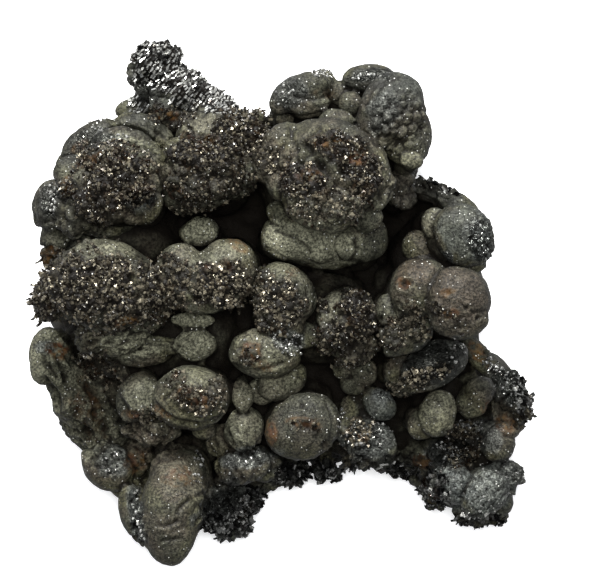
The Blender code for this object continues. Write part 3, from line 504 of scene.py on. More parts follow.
PITS = table(
    Pit,
    (24.7, 3, 1.1, 1), (26, 3.4, 0.7, 0.6), (4.4, -21, 0.7, 0.5), (9, -28.7, 0.8, 0.9),
    (5.2, -25.2, 0.9, 0.7), (7, -25.6, 0.7, 0.6), (2.8, -24.6, 0.6, 0.5), (9.1, -1.2, 0.8, 0.8),
    (31, -1, 0.7, 0.6), (-5.2, -9.4, 0.8, 0.5), (-8, -9.6, 0.7, 0.4), (-6.8, -11.6, 0.6, 0.5),
    (33.4, 1.5, 0.6, 0.5), (37, -1.6, 0.5, 0.4), (39.4, -3.6, 0.6, 0.5), (20, -3.6, 0.6, 0.5),
    (-22.4, -5.4, 0.5, 0.3),
)

# Where branching sprays of crystals stand out from the surface.
SPRAYS = table(
    Patch,
    (-7.4, 33.6, 5, 5.6, -30, 18, 1), (-48, 0.6, 2.6, 5.6, 0, 14, 0.8), (-24.4, 0.4, 2.6, 5, 0, 20, 0.3),
    (-8.6, 1.6, 3.6, 3, 30, 24, 0.4), (16.4, 20.6, 3, 2.6, 0, 38, 0.3), (-49.4, 7.6, 2, 2.4, 0, 6, 0.6),
)

# Rows of single shiny beads, seen from above.
BEADS = [
    [(-28.3, -38.0), (-29.2, -41.0), (-29.4, -43.4), (-28.8, -45.6), (-27.4, -48.4)],
    [(-7.0, -39.6), (-7.0, -42.4), (-7.8, -45.4)],
    [(-13.2, -45.0), (-13.6, -47.6)],
    [(-46.4, 23.4), (-45.8, 20.4), (-45.4, 17.6)],
    [(14.2, 44.8), (17.4, 45.6), (20.4, 45.2)],
    [(-38.6, 34.4), (-36.6, 36.4), (-34.8, 37.0)],
]

# Rims where single thin plates of crystal stand out.
RIMS = table(
    Patch,
    (30.8, -39.4, 3, 5.6, 0, 1, 0.9), (-9.6, -45.6, 6, 3, 0, 1, 1), (-4.6, -42, 3, 4.6, 30, 1, 1),
    (8.6, -35.6, 10, 2.6, 0, 1, 1), (23, -34.6, 5, 2, 0, 1, 1), (49.6, -19, 2.4, 5.6, 0, 1, 0.9),
    (39.6, -44.6, 6, 1.8, 0, 1, 0.7), (-25.6, 50.6, 6, 2.4, 0, 12, 0.7), (31, 23.4, 5, 1.4, -24, 10, 0.25),
)

SURFACE_PIECES = {
    "heads_upper_left": UPPER_LEFT + UPPER_MIDDLE + CREST,
    "heads_upper_right": TOP_HEAD + TOP_RIGHT + RIGHT,
    "heads_middle": MIDDLE + LEFT,
    "heads_lower": LEFT_SLOPE + LOWER_MIDDLE + LOWER_RIGHT,
}
CRUST_PIECE = "stalks_and_crust"

# The marks that tell the skin's material where each kind of patch lies.
MARKED = {
    "druse": DRUSE,
    "scales": SCALES,
    "shine": SHINE,
    "gloss": GLOSS,
    "rust": RUST,
    "pale": PALE_AND_LIT,
    "bluish": BLUISH,
    "brownish": BROWNISH,
    "dark": DARK,
}

PATCH_EDGE = 1.15  # where a patch ends, over its own half widths
PATCH_SOFTNESS = 0.35  # over how much of them it fades out
LOW_SOFTNESS = 3.0  # height over which a patch fades out at its lowest

# Layers of smooth noise: size of the lumps in millimetres, their height and a seed.
EDGE_WOBBLE = [(2.6, 0.35, 1), (1.1, 0.2, 2)]
SKIN_LUMPS = [(7.0, 0.5, 3), (2.8, 0.26, 4), (1.1, 0.1, 5)]
CRYSTAL_LUMPS = [(0.9, 0.35, 6)]
FINE_SPIKES = [(1.1, 0.9, 9)]
GROOVE_LUMPS = [(2.0, 0.5, 10)]
CLUSTER_LUMPS = [(1.7, 1.8, 11)]
RIDGE_LUMPS = [(1.2, 0.3, 12)]
LEDGE_LUMPS = [(4.0, 0.8, 21)]
SEED_STEP = 17.3  # how far apart two seeds lie in the noise
CELL_SEED_STEP = 7.7  # the same in the cells of the round bumps

MERGED_ROUNDS = 45  # how often merged lobes are evened out
MERGED_LIFT = 0.4
CREASE_ROUNDS = 8
CREASE_START = 0.2  # hollowness at which a crease is full
CREASE_DEPTH = 0.6
EDGE_ROUNDS = 5
EDGE_START = 0.11  # bulge at which the skin starts to be drawn paler
EDGE_MARGIN = 0.5

CLUMP_SPACING = 2.2  # from one clump of gritty crystals to the next
CLUMP_HEIGHT = 1.5
CLUMP_SEED = 1
CLUMP_LIFT = 0.2
BUMP_TOP = 0.9  # height of a bump's middle, over its full height
BUMP_CREASE = 0.6  # depth of the crease round it, over the same
BUMP_CREASE_WIDTH = 0.12  # over the bumps' spacing
SMALL_BUMP_SPACING = 0.55  # small bumps between the others, over their spacing
SMALL_BUMP_HEIGHT = 0.4
SMALL_BUMP_SEED = 2  # added to the seed of the others
FAINTEST = 0.02  # a mask below this makes no bumps

RIDGE_LENGTH = 4.0  # how drawn out the ridges are
RIDGE_STEEPNESS = 2.0
RIDGE_SHARPNESS = 2.6
RIDGE_MIDDLE = 0.4  # level of the ridges that stays in place
SPIKE_SIZE = 2.4
SPIKE_SEED = 8
SPIKE_SHARPNESS = 2.5
SPIKE_MIDDLE = 0.6
SPIKE_HEIGHT = 1.4
LAYER_THICKNESS = 1.1
LAYER_STEP = 0.9
LAYER_MIDDLE = 0.5

CORNER_CUT = 0.25  # share of a line that is cut off at each of its ends
GROOVE_REACH = 4  # how far from its line a groove is worked out, over its half width
GROOVE_LIP = 0.3  # height of the lips beside a groove, over its depth
GROOVE_LIP_AWAY = 2.2  # their distance from its line, over its half width
GROOVE_FACING = 2.5  # how soon a groove fades out where the surface turns down
GROOVE_EVENNESS = 0.75
PIT_LIP = 0.35  # height of the rim round a pit, over its depth
PIT_LIP_AWAY = 1.25  # its distance from the middle, over the pit's radius
PIT_LIP_SHARPNESS = 12
PIT_STEEPNESS = 4
PIT_FACING = 0.2  # a pit is sunk only where the surface faces up more than this

RANDOM_SEED = 20240611
DENSITIES = {"druse": 6.5, "shine": 3.6, "spray": 0.5, "rim": 1.3}  # to a square millimetre
LOWEST_CRYSTAL = 1.0  # height above the cut
CLUSTER_MIDDLE = 0.6  # share of the gritty crystals that stand there without the clusters
GRAIN_SIZES = (0.22, 0.54)  # half sizes of the gritty crystals, small ones being commoner
GRAIN_LIFT = 0.4  # how far a crystal's middle stands off the surface, over its half size
GRAIN_STRETCH = 0.35
DRUSE_SPLIT = 9.5  # the gritty crystals are two pieces, above and below this line
GRIT_CONTRAST = 4.0  # how few of the gritty crystals are pale
LIGHT_CONTRAST = 1.0  # the same where they are lighter
FACET_SIZES = (0.18, 0.4)
FACET_LIFT = 0.2
FACET_STRETCH = 0.3
BEAD_SIZES = (0.26, 0.42)
BEAD_STEP = 0.8
BEAD_SCATTER = 0.15
BEAD_REACH = 0.7  # how far from its step a bead looks for the highest surface
SCALE_SPACING = np.array([1.0, 0.78, 0.85])
SCALE_TURN = math.radians(52)  # the way that the rows of scales run
SCALE_SIZE = np.array([0.16, 0.38, 0.2])
SCALE_UNEVEN = (0.75, 1.25)
SCALE_START = 0.5  # how strong the mark has to be for a scale
SCALE_LIFT = 0.1
SCALE_TILT = 0.24
SCALE_SWING = 0.2
FLASH = 0.7 * np.array([-0.05, 0.42, 0.9])  # pull towards the way that throws the light up
BRIGHT_SCALES = 0.62  # share of the scales that are bright
BRIGHT_TONES = (0.6, 1.0)
DARK_TONE = 0.05
SPRAY_SIZES = (0.45, 0.7)
SPRAY_SPREAD = 0.4
SPRAY_RISE = (0, 0, 0.2)
SPRAY_LENGTHS = (3, 6)  # the least number of grains in a spray, and one more than the most
SPRAY_STEP = 1.1
SPRAY_SWING = 0.2
SPRAY_TAPER = 0.84
RIM_SIZES = (0.35, 0.8)
RIM_SHAPE = np.array([1.0, 0.55, 0.22])  # a thin plate, over its half length
RIM_STRETCH = 0.4
RIM_BRIGHTEST = 0.8
RIM_CONTRAST = 5  # how few of the plates are bright


def ellipsoid_matrix(head, half_height):
    """Places the unit ball as the head, with its top at the head's tip."""
    centre = Matrix.Translation((head.x, head.y, head.tip - half_height))
    turn = Matrix.Rotation(math.radians(head.turn), 4, "Z")
    size = Matrix.Diagonal((head.a, head.b, half_height, 1))
    return centre @ turn @ size


def head_half_height(head):
    return ROUNDNESS * min(head.a, head.b)


def stalk_lumps(head, first_turn):
    """The lumps below a head, each a little aside from the line down to the crust."""
    top = Vector((head.x, head.y, head.tip - head_half_height(head)))
    foot = Vector((head.x * LEAN, head.y * LEAN, STALK_FOOT))
    if top.z < STALK_FOOT + SHORTEST_STALK:
        return []
    long, wide = max(THINNEST_STALK, head.a), max(THINNEST_STALK, head.b)
    count = math.ceil((top - foot).length / (LUMP_SPACING * min(long, wide)))
    spacing = (top - foot).length / count
    half = LUMP_OVERLAP * spacing
    aside = SIDE_STEP * min(long, wide)
    stalk = []
    for step in range(1, count + 1):
        share = step / count
        angle = (first_turn + step) * GOLDEN_ANGLE
        place = top.lerp(foot, share) + Vector((math.cos(angle), math.sin(angle), 0)) * aside
        growth = STALK_TOP + (STALK_END - STALK_TOP) * share
        lump = Head(place.x, place.y, long * growth, wide * growth, head.turn, place.z + half)
        stalk.append(ellipsoid_matrix(lump, half))
    return stalk


def head_shapes(heads):
    return [ellipsoid_matrix(head, head_half_height(head)) for head in heads]


def stalk_shapes():
    shapes = [lump for number, head in enumerate(HEADS) for lump in stalk_lumps(head, number)]
    shapes += [ellipsoid_matrix(mound, CORE_HALF_HEIGHT) for mound in CORE]
    shapes += [ellipsoid_matrix(mound, CRUST_HALF_HEIGHT) for mound in CRUST]
    return shapes


def points_and_triangles(bm):
    """What the bmesh holds, as two arrays. The bmesh is freed."""
    bmesh.ops.triangulate(bm, faces=bm.faces)
    points = np.array([v.co[:] for v in bm.verts])
    triangles = np.array([[v.index for v in face.verts] for face in bm.faces])
    bm.free()
    return points, triangles


def added(name, data):
    """A new object in the scene that shows the data."""
    made = bpy.data.objects.new(name, data)
    bpy.context.collection.objects.link(made)
    return made


def unit_ball(subdivisions):
    bm = bmesh.new()
    bmesh.ops.create_icosphere(bm, subdivisions=subdivisions, radius=1)
    return points_and_triangles(bm)


def unit_block():
    """A block that reaches 1 from its middle along each axis."""
    bm = bmesh.new()
    bmesh.ops.create_cube(bm, size=2)
    return points_and_triangles(bm)


def unit_crystal():
    """An eight-sided crystal that reaches 1 from its middle."""
    bm = bmesh.new()
    bmesh.ops.create_uvsphere(bm, u_segments=4, v_segments=2, radius=1)
    return points_and_triangles(bm)


def fused_balls(shapes, subdivisions, voxel):
    """One closed surface round the ellipsoids, as points and four-sided faces."""
    ball, triangles = unit_ball(subdivisions)
    points = [ball @ np.array(s.to_3x3()).T + np.array(s.translation) for s in shapes]
    sides = [triangles + number * len(ball) for number in range(len(shapes))]
    mesh = bpy.data.meshes.new("balls")
    mesh.from_pydata(np.concatenate(points), [], np.concatenate(sides))
    balls = added("balls", mesh)
    fuse = balls.modifiers.new("fuse", "REMESH")
    fuse.mode = "VOXEL"
    fuse.voxel_size = voxel
    soften = balls.modifiers.new("soften", "SMOOTH")
    soften.factor, soften.iterations = SOFTENING
    bpy.context.view_layer.update()
    graph = bpy.context.evaluated_depsgraph_get()
    skin = bpy.data.meshes.new_from_object(balls.evaluated_get(graph))
    points = np.empty(3 * len(skin.vertices))
    skin.vertices.foreach_get("co", points)
    faces = np.empty(len(skin.loops), dtype=np.int32)
    skin.loops.foreach_get("vertex_index", faces)
    bpy.data.objects.remove(balls)
    bpy.data.meshes.remove(mesh)
    bpy.data.meshes.remove(skin)
    return outer_bodies(points.reshape(-1, 3), faces.reshape(-1, 4))


def body_labels(count, faces):
    """A number for each point, the same for all the points of one body."""
    ends = np.concatenate([faces[:, (0, 1)], faces[:, (1, 2)], faces[:, (2, 3)]])
    labels = np.arange(count)
    while True:
        lowest = np.minimum(labels[ends[:, 0]], labels[ends[:, 1]])
        lowered = labels.copy()
        np.minimum.at(lowered, ends[:, 0], lowest)
        np.minimum.at(lowered, ends[:, 1], lowest)
        lowered = lowered[lowered]
        if np.array_equal(lowered, labels):
            return labels
        labels = lowered


def outer_bodies(points, faces):
    """The same surface without the closed hollows inside it and without specks."""
    body = body_labels(len(points), faces)[faces[:, 0]]
    a, b, c, d = (points[faces[:, i]] for i in range(4))
    share = (np.cross(b, c) * a).sum(axis=1) + (np.cross(c, d) * a).sum(axis=1)
    volumes = np.bincount(body, weights=share / 6, minlength=len(points))
    used, renumbered = np.unique(faces[volumes[body] > SMALLEST_BODY], return_inverse=True)
    return points[used], renumbered.reshape(-1, 4)


def face_crosses(points, faces):
    """For each face, a vector along its normal, as long as twice the face's area."""
    a, b, c, d = (points[faces[:, i]] for i in range(4))
    return np.cross(c - a, d - b)


def unit(vectors):
    return vectors / np.maximum(np.linalg.norm(vectors, axis=1, keepdims=True), 1e-9)


def sums_at(indices, vectors, count):
    """For each point, the sum of the vectors that belong to it."""
    return np.stack([np.bincount(indices, vectors[:, i], count) for i in range(3)], axis=1)


def point_normals(points, faces):
    crosses = np.repeat(face_crosses(points, faces), 4, axis=0)
    return unit(sums_at(faces.ravel(), crosses, len(points)))


def evened_out(points, faces, times):
    """The points after they were moved that many times to the middle of their neighbours."""
    here = faces.ravel()
    after, before = (np.roll(faces, step, axis=1).ravel() for step in (-1, 1))
    shares = 2 * np.bincount(here, minlength=len(points))[:, None]
    for _ in range(times):
        points = sums_at(here, points[after] + points[before], len(points)) / shares
    return points


def hollowness(points, faces, normals, times):
    """How deep each point lies in a crease, in millimetres; below 0 where the surface bulges."""
    return ((evened_out(points, faces, times) - points) * normals).sum(axis=1)


def lumps(points, size, seed):
    """Smooth noise from about -1 to 1, with lumps of this size in millimetres."""
    places = points / size + SEED_STEP * seed
    return np.array([noise.noise(place) for place in places.tolist()])


def rolling(points, layers):
    """Layers of smooth noise, one on another."""
    return sum(height * lumps(points, size, seed) for size, height, seed in layers)


def turned(east, north, angle):
    """The same places, measured along a line at this angle and across it."""
    along = east * math.cos(angle) + north * math.sin(angle)
    return along, north * math.cos(angle) - east * math.sin(angle)


def cover(points, patches, wobble=0.0):
    """How far each point lies inside any of the patches, from 0 to 1; wobble bends the edges."""
    covered = np.zeros(len(points))
    for patch in patches:
        east, north = points[:, 0] - patch.x, points[:, 1] - patch.y
        along, across = turned(east, north, math.radians(patch.turn))
        away = np.hypot(along / patch.a, across / patch.b) + wobble
        inside = np.clip((PATCH_EDGE - away) / PATCH_SOFTNESS, 0, 1)
        above = np.clip((points[:, 2] - patch.low) / LOW_SOFTNESS, 0, 1)
        covered = np.maximum(covered, inside * above * patch.strength)
    return covered


def marks_of(points):
    """What each point of the surface shows: a share from 0 to 1 for every kind of patch."""
    wobble = rolling(points, EDGE_WOBBLE)
    marks = {name: cover(points, patches, wobble) for name, patches in MARKED.items()}
    marks["druse"] *= 1 - cover(points, BARE, wobble)
    return marks


def rounded_path(path):
    """The same line with its corners cut twice."""
    path = np.array(path)
    for _ in range(2):
        starts, ends = path[:-1], path[1:]
        first, second = ((1 - cut) * starts + cut * ends for cut in (CORNER_CUT, 1 - CORNER_CUT))
        middle = np.stack([first, second], axis=1).reshape(-1, 2)
        path = np.concatenate([path[:1], middle, path[-1:]])
    return path


def distance_to_path(points, path):
    nearest = np.full(len(points), np.inf)
    for start, end in zip(path[:-1], path[1:]):
        line = end - start
        share = np.clip((points - start) @ line / (line @ line), 0, 1)
        gap = points - (start + share[:, None] * line)
        nearest = np.minimum(nearest, np.hypot(gap[:, 0], gap[:, 1]))
    return nearest


def carve_grooves(points, normals, relief):
    for groove in GROOVES:
        path = rounded_path(groove.points)
        reach = GROOVE_REACH * groove.width
        low, high = path.min(axis=0) - reach, path.max(axis=0) + reach
        near = np.flatnonzero(((points[:, :2] > low) & (points[:, :2] < high)).all(axis=1))
        away = distance_to_path(points[near, :2], path) / groove.width
        profile = GROOVE_LIP * np.exp(-((away - GROOVE_LIP_AWAY) ** 2)) - np.exp(-(away**2))
        facing = np.clip(GROOVE_FACING * normals[near, 2], 0, 1)
        evenness = GROOVE_EVENNESS + rolling(points[near], GROOVE_LUMPS)
        relief[near] += groove.depth * profile * facing * evenness


def sink_pits(points, normals, relief):
    for pit in PITS:
        away = np.hypot(points[:, 0] - pit.x, points[:, 1] - pit.y) / pit.radius
        lip = PIT_LIP * np.exp(-PIT_LIP_SHARPNESS * (away - PIT_LIP_AWAY) ** 2)
        profile = lip - np.exp(-(away**PIT_STEEPNESS))
        relief += pit.depth * profile * (normals[:, 2] > PIT_FACING)


def cobbles(points, mask, spacing, height, seed):
    """Round bumps with narrow creases between them, where the mask says."""
    heights = np.zeros(len(points))
    chosen = np.flatnonzero(mask > FAINTEST)
    places = points[chosen] / spacing + CELL_SEED_STEP * seed
    away = np.array([noise.voronoi(place)[0][:2] for place in places.tolist()]).reshape(-1, 2)
    crease = np.exp(-(away[:, 1] - away[:, 0]) / BUMP_CREASE_WIDTH)
    heights[chosen] = height * (BUMP_TOP - away[:, 0] - BUMP_CREASE * crease)
    return heights * mask


def ridged(points, size, sharpness, seed):
    """Noise with sharp crests at 1."""
    return 1 - sharpness * np.abs(lumps(points, size, seed))


def streak_heights(points, streaks):
    """Sharp ridges that run along one direction, seen from above."""
    along, across = turned(points[:, 0], points[:, 1], math.radians(streaks.turn))
    places = np.stack([along / RIDGE_LENGTH, across, points[:, 2] / RIDGE_STEEPNESS], axis=1)
    ridges = ridged(places, streaks.spacing, RIDGE_SHARPNESS, streaks.seed)
    return streaks.height * (ridges - RIDGE_MIDDLE) + rolling(points, RIDGE_LUMPS)


def spike_heights(points):
    spikes = ridged(points, SPIKE_SIZE, SPIKE_SHARPNESS, SPIKE_SEED)
    return SPIKE_HEIGHT * (spikes + rolling(points, FINE_SPIKES) - SPIKE_MIDDLE)


def layer_heights(points):
    """Ledges that follow the height, like thin layers that lap over one another."""
    phase = (points[:, 2] + rolling(points, LEDGE_LUMPS)) / LAYER_THICKNESS
    return LAYER_STEP * (1 - (phase - np.floor(phase)) - LAYER_MIDDLE)


def skin_relief(points, faces, normals, merged):
    """Contact creases between the lobes, and the soft lumps of the whole skin."""
    depth = hollowness(points, faces, normals, CREASE_ROUNDS)
    creases = CREASE_DEPTH * np.clip(depth / CREASE_START, 0, 1) * (1 - merged)
    return MERGED_LIFT * merged - creases + rolling(points, SKIN_LUMPS)


def crystal_relief(points, marks):
    """Clumps under the gritty crystals, and rough ground under all the crystals."""
    druse = marks["druse"]
    clumps = cobbles(points, druse, CLUMP_SPACING, CLUMP_HEIGHT, CLUMP_SEED)
    rough = np.maximum(druse, np.maximum(marks["shine"], marks["scales"]))
    return clumps + CLUMP_LIFT * druse + rough * rolling(points, CRYSTAL_LUMPS)


def bump_relief(points):
    """Warts and knobs of every kind, with small ones between them."""
    relief = np.zeros(len(points))
    for spacing, height, seed, patches in (WARTS, KNOBS, FINE_WARTS):
        mask = cover(points, patches)
        relief += cobbles(points, mask, spacing, height, seed)
        spacing, height = SMALL_BUMP_SPACING * spacing, SMALL_BUMP_HEIGHT * height
        relief += cobbles(points, mask, spacing, height, SMALL_BUMP_SEED + seed)
    return relief


def carved(points, faces, marks):
    """The surface with all its relief. The marks of creases, edges and rough places are added."""
    merged = cover(points, MERGED)
    points = points + merged[:, None] * (evened_out(points, faces, MERGED_ROUNDS) - points)
    normals = point_normals(points, faces)
    relief = skin_relief(points, faces, normals, merged)
    relief += crystal_relief(points, marks) + bump_relief(points)
    for streaks in STREAKS:
        relief += cover(points, streaks.patches) * streak_heights(points, streaks)
    ragged = cover(points, RAGGED)
    relief += ragged * spike_heights(points) + cover(points, LAYERS) * layer_heights(points)
    carve_grooves(points, normals, relief)
    sink_pits(points, normals, relief)
    marks["rough"] = np.maximum(cover(points, STREAKS[0].patches), ragged)
    points = points + normals * relief[:, None]
    depth = hollowness(points, faces, point_normals(points, faces), EDGE_ROUNDS)
    # The crease mark paints shade: the skin is drawn darker in its creases.
    marks["crease"] = np.clip(depth / CREASE_START, 0, 1)
    marks["edge"] = np.clip(-depth / EDGE_START - EDGE_MARGIN, 0, 1)
    return points


def to_frame(points):
    """From the tables' millimetres to the frame's metres."""
    return (points - np.array([*PLAN_MIDDLE, 0])) * MM


def make_piece(name, points, faces, material, smooth, marks):
    mesh = bpy.data.meshes.new(name)
    mesh.from_pydata(to_frame(points), [], faces, shade_flat=not smooth)
    for mark, values in marks.items():
        layer = mesh.attributes.new(mark, "FLOAT", "POINT")
        layer.data.foreach_set("value", values.astype(np.float32))
    mesh.materials.append(material)
    made = added(name, mesh)
    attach(made, "root")
    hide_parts("goethite_growth")
    return made


def sawn_flat(piece):
    """The piece cut off at height 0 and closed with one flat face."""
    bm = bmesh.new()
    bm.from_mesh(piece.data)
    cut = bmesh.ops.bisect_plane(
        bm,
        geom=bm.verts[:] + bm.edges[:] + bm.faces[:],
        dist=1e-7,
        plane_co=(0, 0, 0),
        plane_no=(0, 0, 1),
        clear_inner=True,
    )
    rim = [e for e in cut["geom_cut"] if isinstance(e, bmesh.types.BMEdge)]
    bmesh.ops.triangle_fill(bm, edges=rim, use_beauty=True, normal=(0, 0, -1))
    bmesh.ops.recalc_face_normals(bm, faces=bm.faces)
    bm.to_mesh(piece.data)
    bm.free()


def make_surface(name, shapes, subdivisions, voxel, skin):
    """One carved piece of the growth. Its points, faces and marks are given back."""
    points, faces = fused_balls(shapes, subdivisions, voxel)
    marks = marks_of(points)
    points = carved(points, faces, marks)
    if name != CRUST_PIECE:
        make_piece(name, points, faces, skin, True, marks)
    else:
        # The hollow mark paints shade: the stalks deep between the heads are drawn near black.
        marks["hollow_shade"] = cover(points, SHADED_HOLLOWS)
        sawn_flat(make_piece(name, points, faces, skin, True, marks))
    return points, faces, marks


def scattered(points, faces, weights, density, random):
    """Random places on the faces, so many to a square millimetre times the face's weight."""
    crosses = face_crosses(points, faces)
    areas = np.linalg.norm(crosses, axis=1) / 2
    counts = random.poisson(density * areas * weights[faces].mean(axis=1))
    chosen = np.repeat(np.arange(len(faces)), counts)
    u, v = random.random((2, len(chosen), 1))
    a, b, c, d = (points[faces[chosen, i]] for i in range(4))
    places = (1 - u) * (1 - v) * a + u * (1 - v) * b + u * v * c + (1 - u) * v * d
    return places, unit(crosses[chosen])


def crystal_weights(points, marks):
    """How thickly each kind of crystal stands at each point, from 0 to 1."""
    clustered = np.clip(CLUSTER_MIDDLE + rolling(points, CLUSTER_LUMPS), 0, 1)
    return {
        "druse": marks["druse"] * clustered,
        "shine": marks["shine"],
        "spray": cover(points, SPRAYS),
        "rim": cover(points, RIMS),
    }


def crystal_places(surfaces, random):
    """For each kind of crystal, its random places on all the surfaces and the normals there."""
    found = {kind: [] for kind in DENSITIES}
    for points, faces, marks in surfaces:
        above = points[:, 2] > LOWEST_CRYSTAL
        for kind, weights in crystal_weights(points, marks).items():
            weights = weights * above
            found[kind].append(scattered(points, faces, weights, DENSITIES[kind], random))
    return {kind: [np.concatenate(both) for both in zip(*parts)] for kind, parts in found.items()}


def random_turns(count, random):
    """Rotation matrices with no preferred direction, from random quaternions."""
    w, x, y, z = unit(random.normal(size=(count, 4))).T
    rows = [
        [1 - 2 * (y * y + z * z), 2 * (x * y - w * z), 2 * (x * z + w * y)],
        [2 * (x * y + w * z), 1 - 2 * (x * x + z * z), 2 * (y * z - w * x)],
        [2 * (x * z - w * y), 2 * (y * z + w * x), 1 - 2 * (x * x + y * y)],
    ]
    return np.moveaxis(np.array(rows), 2, 0)


def lying(ways, normals):
    """Rotation matrices that point the third axis along the normals, the second near the ways."""
    first = unit(np.cross(ways, normals))
    return np.stack([first, np.cross(normals, first), normals], axis=2)


def make_grains(name, shape, places, sizes, turns, tones, material):
    """Small faceted crystals of these half sizes and tones, joined in one piece."""
    corners, triangles = shape
    turned = np.einsum("nij,nkj->nki", turns, corners * sizes[:, None])
    points = (turned + places[:, None]).reshape(-1, 3)
    faces = triangles + len(corners) * np.arange(len(places))[:, None, None]
    marks = {"tone": np.repeat(tones, len(corners))}
    make_piece(name, points, faces.reshape(-1, 3), material, False, marks)


def uneven(radii, stretch, random):
    """Three half sizes for every radius, each up to the stretch larger or smaller."""
    return radii[:, None] * random.uniform(1 - stretch, 1 + stretch, (len(radii), 3))


def grit_tones(places, random):
    """Most of the gritty crystals dark and a few pale, with more pale ones where it is lighter."""
    light = cover(places, LIGHT_GRIT)
    contrast = GRIT_CONTRAST + (LIGHT_CONTRAST - GRIT_CONTRAST) * light
    return random.random(len(places)) ** contrast


def make_druse(places, normals, material, random):
    """The gritty crystals, in two pieces, because one would be too large."""
    radii = GRAIN_SIZES[0] + np.ptp(GRAIN_SIZES) * random.random(len(places)) ** 2
    places = places + normals * (GRAIN_LIFT * radii[:, None])
    upper = places[:, 1] > DRUSE_SPLIT
    for name, chosen in {"druse_upper": upper, "druse_lower": ~upper}.items():
        sizes = uneven(radii[chosen], GRAIN_STRETCH, random)
        turns = random_turns(len(sizes), random)
        tones = grit_tones(places[chosen], random)
        make_grains(name, unit_crystal(), places[chosen], sizes, turns, tones, material)


def bead_places(points, random):
    """Steps along the rows of beads, each on the highest surface there."""
    places = []
    for path in BEADS:
        path = rounded_path(path)
        lengths = np.cumsum([0, *np.linalg.norm(np.diff(path, axis=0), axis=1)])
        for length in np.arange(0, lengths[-1], BEAD_STEP):
            spot = [np.interp(length, lengths, path[:, axis]) for axis in (0, 1)]
            spot = np.array(spot) + random.normal(0, BEAD_SCATTER, 2)
            near = points[np.hypot(*(points[:, :2] - spot).T) < BEAD_REACH]
            if len(near):
                places.append(near[near[:, 2].argmax()])
    return np.array(places)


def make_bright_crystals(places, normals, surface, material, random):
    """The shiny facets and the rows of beads."""
    radii = random.uniform(*FACET_SIZES, len(places))
    beads = bead_places(surface, random)
    tones = np.ones(len(places) + len(beads))
    places = np.concatenate([places + normals * (FACET_LIFT * radii[:, None]), beads])
    radii = np.concatenate([radii, random.uniform(*BEAD_SIZES, len(beads))])
    turns = random_turns(len(places), random)
    sizes = uneven(radii, FACET_STRETCH, random)
    facets = len(places) - len(beads)
    tones[:facets] = random.random(facets)
    make_grains("bright_crystals", unit_ball(1), places, sizes, turns, tones, material)


def one_to_a_cell(points, spacing, angle):
    """Which points to keep so that every cell of a turned grid has one, near its middle."""
    along, across = turned(points[:, 0], points[:, 1], angle)
    inside = np.stack([along, across, points[:, 2]], axis=1) / spacing
    cells = np.floor(inside)
    order = np.argsort(np.linalg.norm(inside - cells - 0.5, axis=1))
    return order[np.unique(cells[order], axis=0, return_index=True)[1]]


def scaly_points(surfaces):
    """The points where scales may stand, and their normals."""
    found = []
    for points, faces, marks in surfaces:
        chosen = (marks["scales"] > SCALE_START) & (points[:, 2] > LOWEST_CRYSTAL)
        found.append((points[chosen], point_normals(points, faces)[chosen]))
    return [np.concatenate(both) for both in zip(*found)]


def make_scales(surfaces, material, random):
    """Bright scales in rows, all lying nearly the same way."""
    points, normals = scaly_points(surfaces)
    kept = one_to_a_cell(points, SCALE_SPACING, SCALE_TURN)
    places, normals = points[kept], normals[kept]
    faced = unit(normals + FLASH + random.normal(0, SCALE_TILT, places.shape))
    rows = np.array([math.cos(SCALE_TURN), math.sin(SCALE_TURN), 0])
    turns = lying(rows + random.normal(0, SCALE_SWING, places.shape), faced)
    sizes = SCALE_SIZE * random.uniform(*SCALE_UNEVEN, places.shape)
    bright = random.random(len(places)) < BRIGHT_SCALES
    tones = np.where(bright, random.uniform(*BRIGHT_TONES, len(places)), DARK_TONE)
    places = places + SCALE_LIFT * normals
    make_grains("scales", unit_block(), places, sizes, turns, tones, material)


def spray_grains(starts, normals, random):
    """Chains of grains that grow out of the surface and get smaller towards their ends."""
    places, radii = [], []
    for start, normal in zip(starts, normals):
        way = unit((normal + random.normal(0, SPRAY_SPREAD, 3) + SPRAY_RISE)[None])[0]
        radius = random.uniform(*SPRAY_SIZES)
        place = start
        for _ in range(random.integers(*SPRAY_LENGTHS)):
            places.append(place)
            radii.append(radius)
            place = place + way * radius * SPRAY_STEP
            way = unit((way + random.normal(0, SPRAY_SWING, 3))[None])[0]
            radius *= SPRAY_TAPER
    return np.array(places), np.array(radii)


def make_sprays(starts, normals, material, random):
    places, radii = spray_grains(starts, normals, random)
    sizes = uneven(radii, GRAIN_STRETCH, random)
    turns = random_turns(len(places), random)
    tones = grit_tones(places, random)
    make_grains("sprays", unit_crystal(), places, sizes, turns, tones, material)


def make_rim_crystals(places, material, random):
    """Single thin plates along the broken rims."""
    lengths = random.uniform(*RIM_SIZES, len(places))
    sizes = RIM_SHAPE * uneven(lengths, RIM_STRETCH, random)
    turns = random_turns(len(places), random)
    tones = RIM_BRIGHTEST * random.random(len(places)) ** RIM_CONTRAST
    make_grains("rim_crystals", unit_block(), places, sizes, turns, tones, material)


# Noise in a material: size in millimetres, detail and roughness, then which two of its values
# become which two others.
Blotches = namedtuple("Blotches", "size detail roughness low high bottom top")


